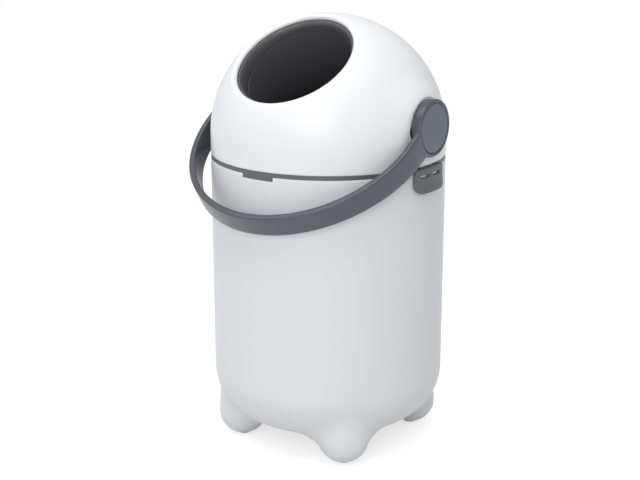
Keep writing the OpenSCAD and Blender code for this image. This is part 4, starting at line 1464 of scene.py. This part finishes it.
def camera_white(name, base, share):
    """Material that takes the object's shadow and shows near white to the camera."""
    material = bpy.data.materials.new(name)
    material.use_nodes = True
    tree = material.node_tree
    tree.nodes.clear()
    plain = node(tree, "ShaderNodeBsdfDiffuse", in_0=(*base, 1)).outputs[0]
    glow = node(tree, "ShaderNodeEmission", in_0=(1, 1, 1, 1), in_1=share).outputs[0]
    lit = node(tree, "ShaderNodeAddShader", {0: plain, 1: glow}).outputs[0]
    ray = node(tree, "ShaderNodeLightPath").outputs
    seen = maths(tree, "MAXIMUM", ray["Is Camera Ray"],
                 maths(tree, "MAXIMUM", ray["Is Glossy Ray"], ray["Is Transmission Ray"]))
    mix = node(tree, "ShaderNodeMixShader", {0: seen, 1: plain, 2: lit})
    node(tree, "ShaderNodeOutputMaterial", {0: mix.outputs[0]})
    return material


def studio_world(strength):
    """Even light on the object, and plain white for the camera."""
    world = bpy.data.worlds.new("Studio")
    world.use_nodes = True
    tree = world.node_tree
    tree.nodes.clear()
    even = node(tree, "ShaderNodeBackground", in_0=(0.97, 0.98, 1.0, 1), in_1=strength)
    white = node(tree, "ShaderNodeBackground", in_0=(1, 1, 1, 1), in_1=1.0)
    ray = node(tree, "ShaderNodeLightPath")
    mix = node(tree, "ShaderNodeMixShader", {0: ray.outputs["Is Camera Ray"],
                                             1: even.outputs[0], 2: white.outputs[0]})
    node(tree, "ShaderNodeOutputWorld", {0: mix.outputs[0]})
    return world


class NAPPYBIN_OT_stage(bpy.types.Operator):
    """Pale floor, soft studio lamps and the camera"""
    bl_idname = "nappybin.stage"
    bl_label = "Stage"

    def execute(self, context):
        scene, sizes = context.scene, context.scene.stage_sizes
        scene.view_settings.view_transform = "Standard"
        scene.world = studio_world(sizes.world)

        mesh = bpy.data.meshes.new("floor")
        far = sizes.floor
        mesh.from_pydata([(-far, -far, 0), (far, -far, 0), (far, far, 0), (-far, far, 0)],
                         [], [(0, 1, 2, 3)])
        mesh.materials.append(camera_white("Pale floor", (0.62, 0.62, 0.62), sizes.glow))
        new_object("floor", mesh)

        middle = (0, 0, 0.3)
        add_lamp("front lamp", (0.9, -2.2, 1.2), middle, sizes.front, 1.5, 1.3)
        add_lamp("top lamp", (0.1, -0.5, 2.3), middle, sizes.top, 1.6, 1.6)
        add_lamp("rim lamp", (-1.3, -0.6, 2.1), middle, sizes.rim, 0.7, 0.7)

        data = bpy.data.cameras.new("camera")
        data.sensor_width = 36.0
        data.lens = sizes.lens
        data.clip_end = 30
        scene.camera = new_object("camera", data)
        scene.camera.location = sizes.place
        scene.camera.rotation_euler = (math.pi / 2 - sizes.tilt, 0, sizes.heading)
        return {"FINISHED"}


class NAPPYBIN_PT_panel(bpy.types.Panel):
    """Sizes, finishes and building steps of the nappy bin"""
    bl_idname = "NAPPYBIN_PT_panel"
    bl_label = "Nappy bin"
    bl_space_type = "VIEW_3D"
    bl_region_type = "UI"
    bl_category = "Nappy bin"

    def draw(self, context):
        """Lists the operators, then each group of sizes in a frame of its own."""
        column = self.layout.column()
        for operator in OPERATORS:
            column.operator(operator.bl_idname)
        for name, group in GROUPS.items():
            area = self.layout.box()
            area.label(text=name.replace("_", " ").capitalize())
            for key in group.__annotations__:
                area.prop(getattr(context.scene, name), key)


GROUPS = {"drum_sizes": DrumSizes, "head_sizes": HeadSizes, "handle_sizes": HandleSizes,
          "catch_sizes": CatchSizes, "finishes": Finishes, "stage_sizes": StageSizes}
OPERATORS = [NAPPYBIN_OT_stage, NAPPYBIN_OT_drum, NAPPYBIN_OT_dome, NAPPYBIN_OT_bowl,
             NAPPYBIN_OT_handle, NAPPYBIN_OT_catches, NAPPYBIN_OT_turned, NAPPYBIN_OT_carried]


def register():
    """Makes the settings, the operators and the panel known to Blender."""
    for name, group in GROUPS.items():
        bpy.utils.register_class(group)
        setattr(bpy.types.Scene, name, PointerProperty(type=group))
    for shown in (*OPERATORS, NAPPYBIN_PT_panel):
        bpy.utils.register_class(shown)


def unregister():
    """Takes back what register did."""
    for shown in (NAPPYBIN_PT_panel, *reversed(OPERATORS)):
        bpy.utils.unregister_class(shown)
    for name, group in GROUPS.items():
        delattr(bpy.types.Scene, name)
        bpy.utils.unregister_class(group)


def main():
    """Builds everything in order."""
    register()
    bpy.ops.nappybin.stage()
    bpy.ops.nappybin.drum()
    bpy.ops.nappybin.dome()
    bpy.ops.nappybin.bowl()
    bpy.ops.nappybin.handle()
    bpy.ops.nappybin.catches()
    bpy.ops.nappybin.turned()
    bpy.ops.nappybin.carried()


if __name__ == "__main__":
    main()
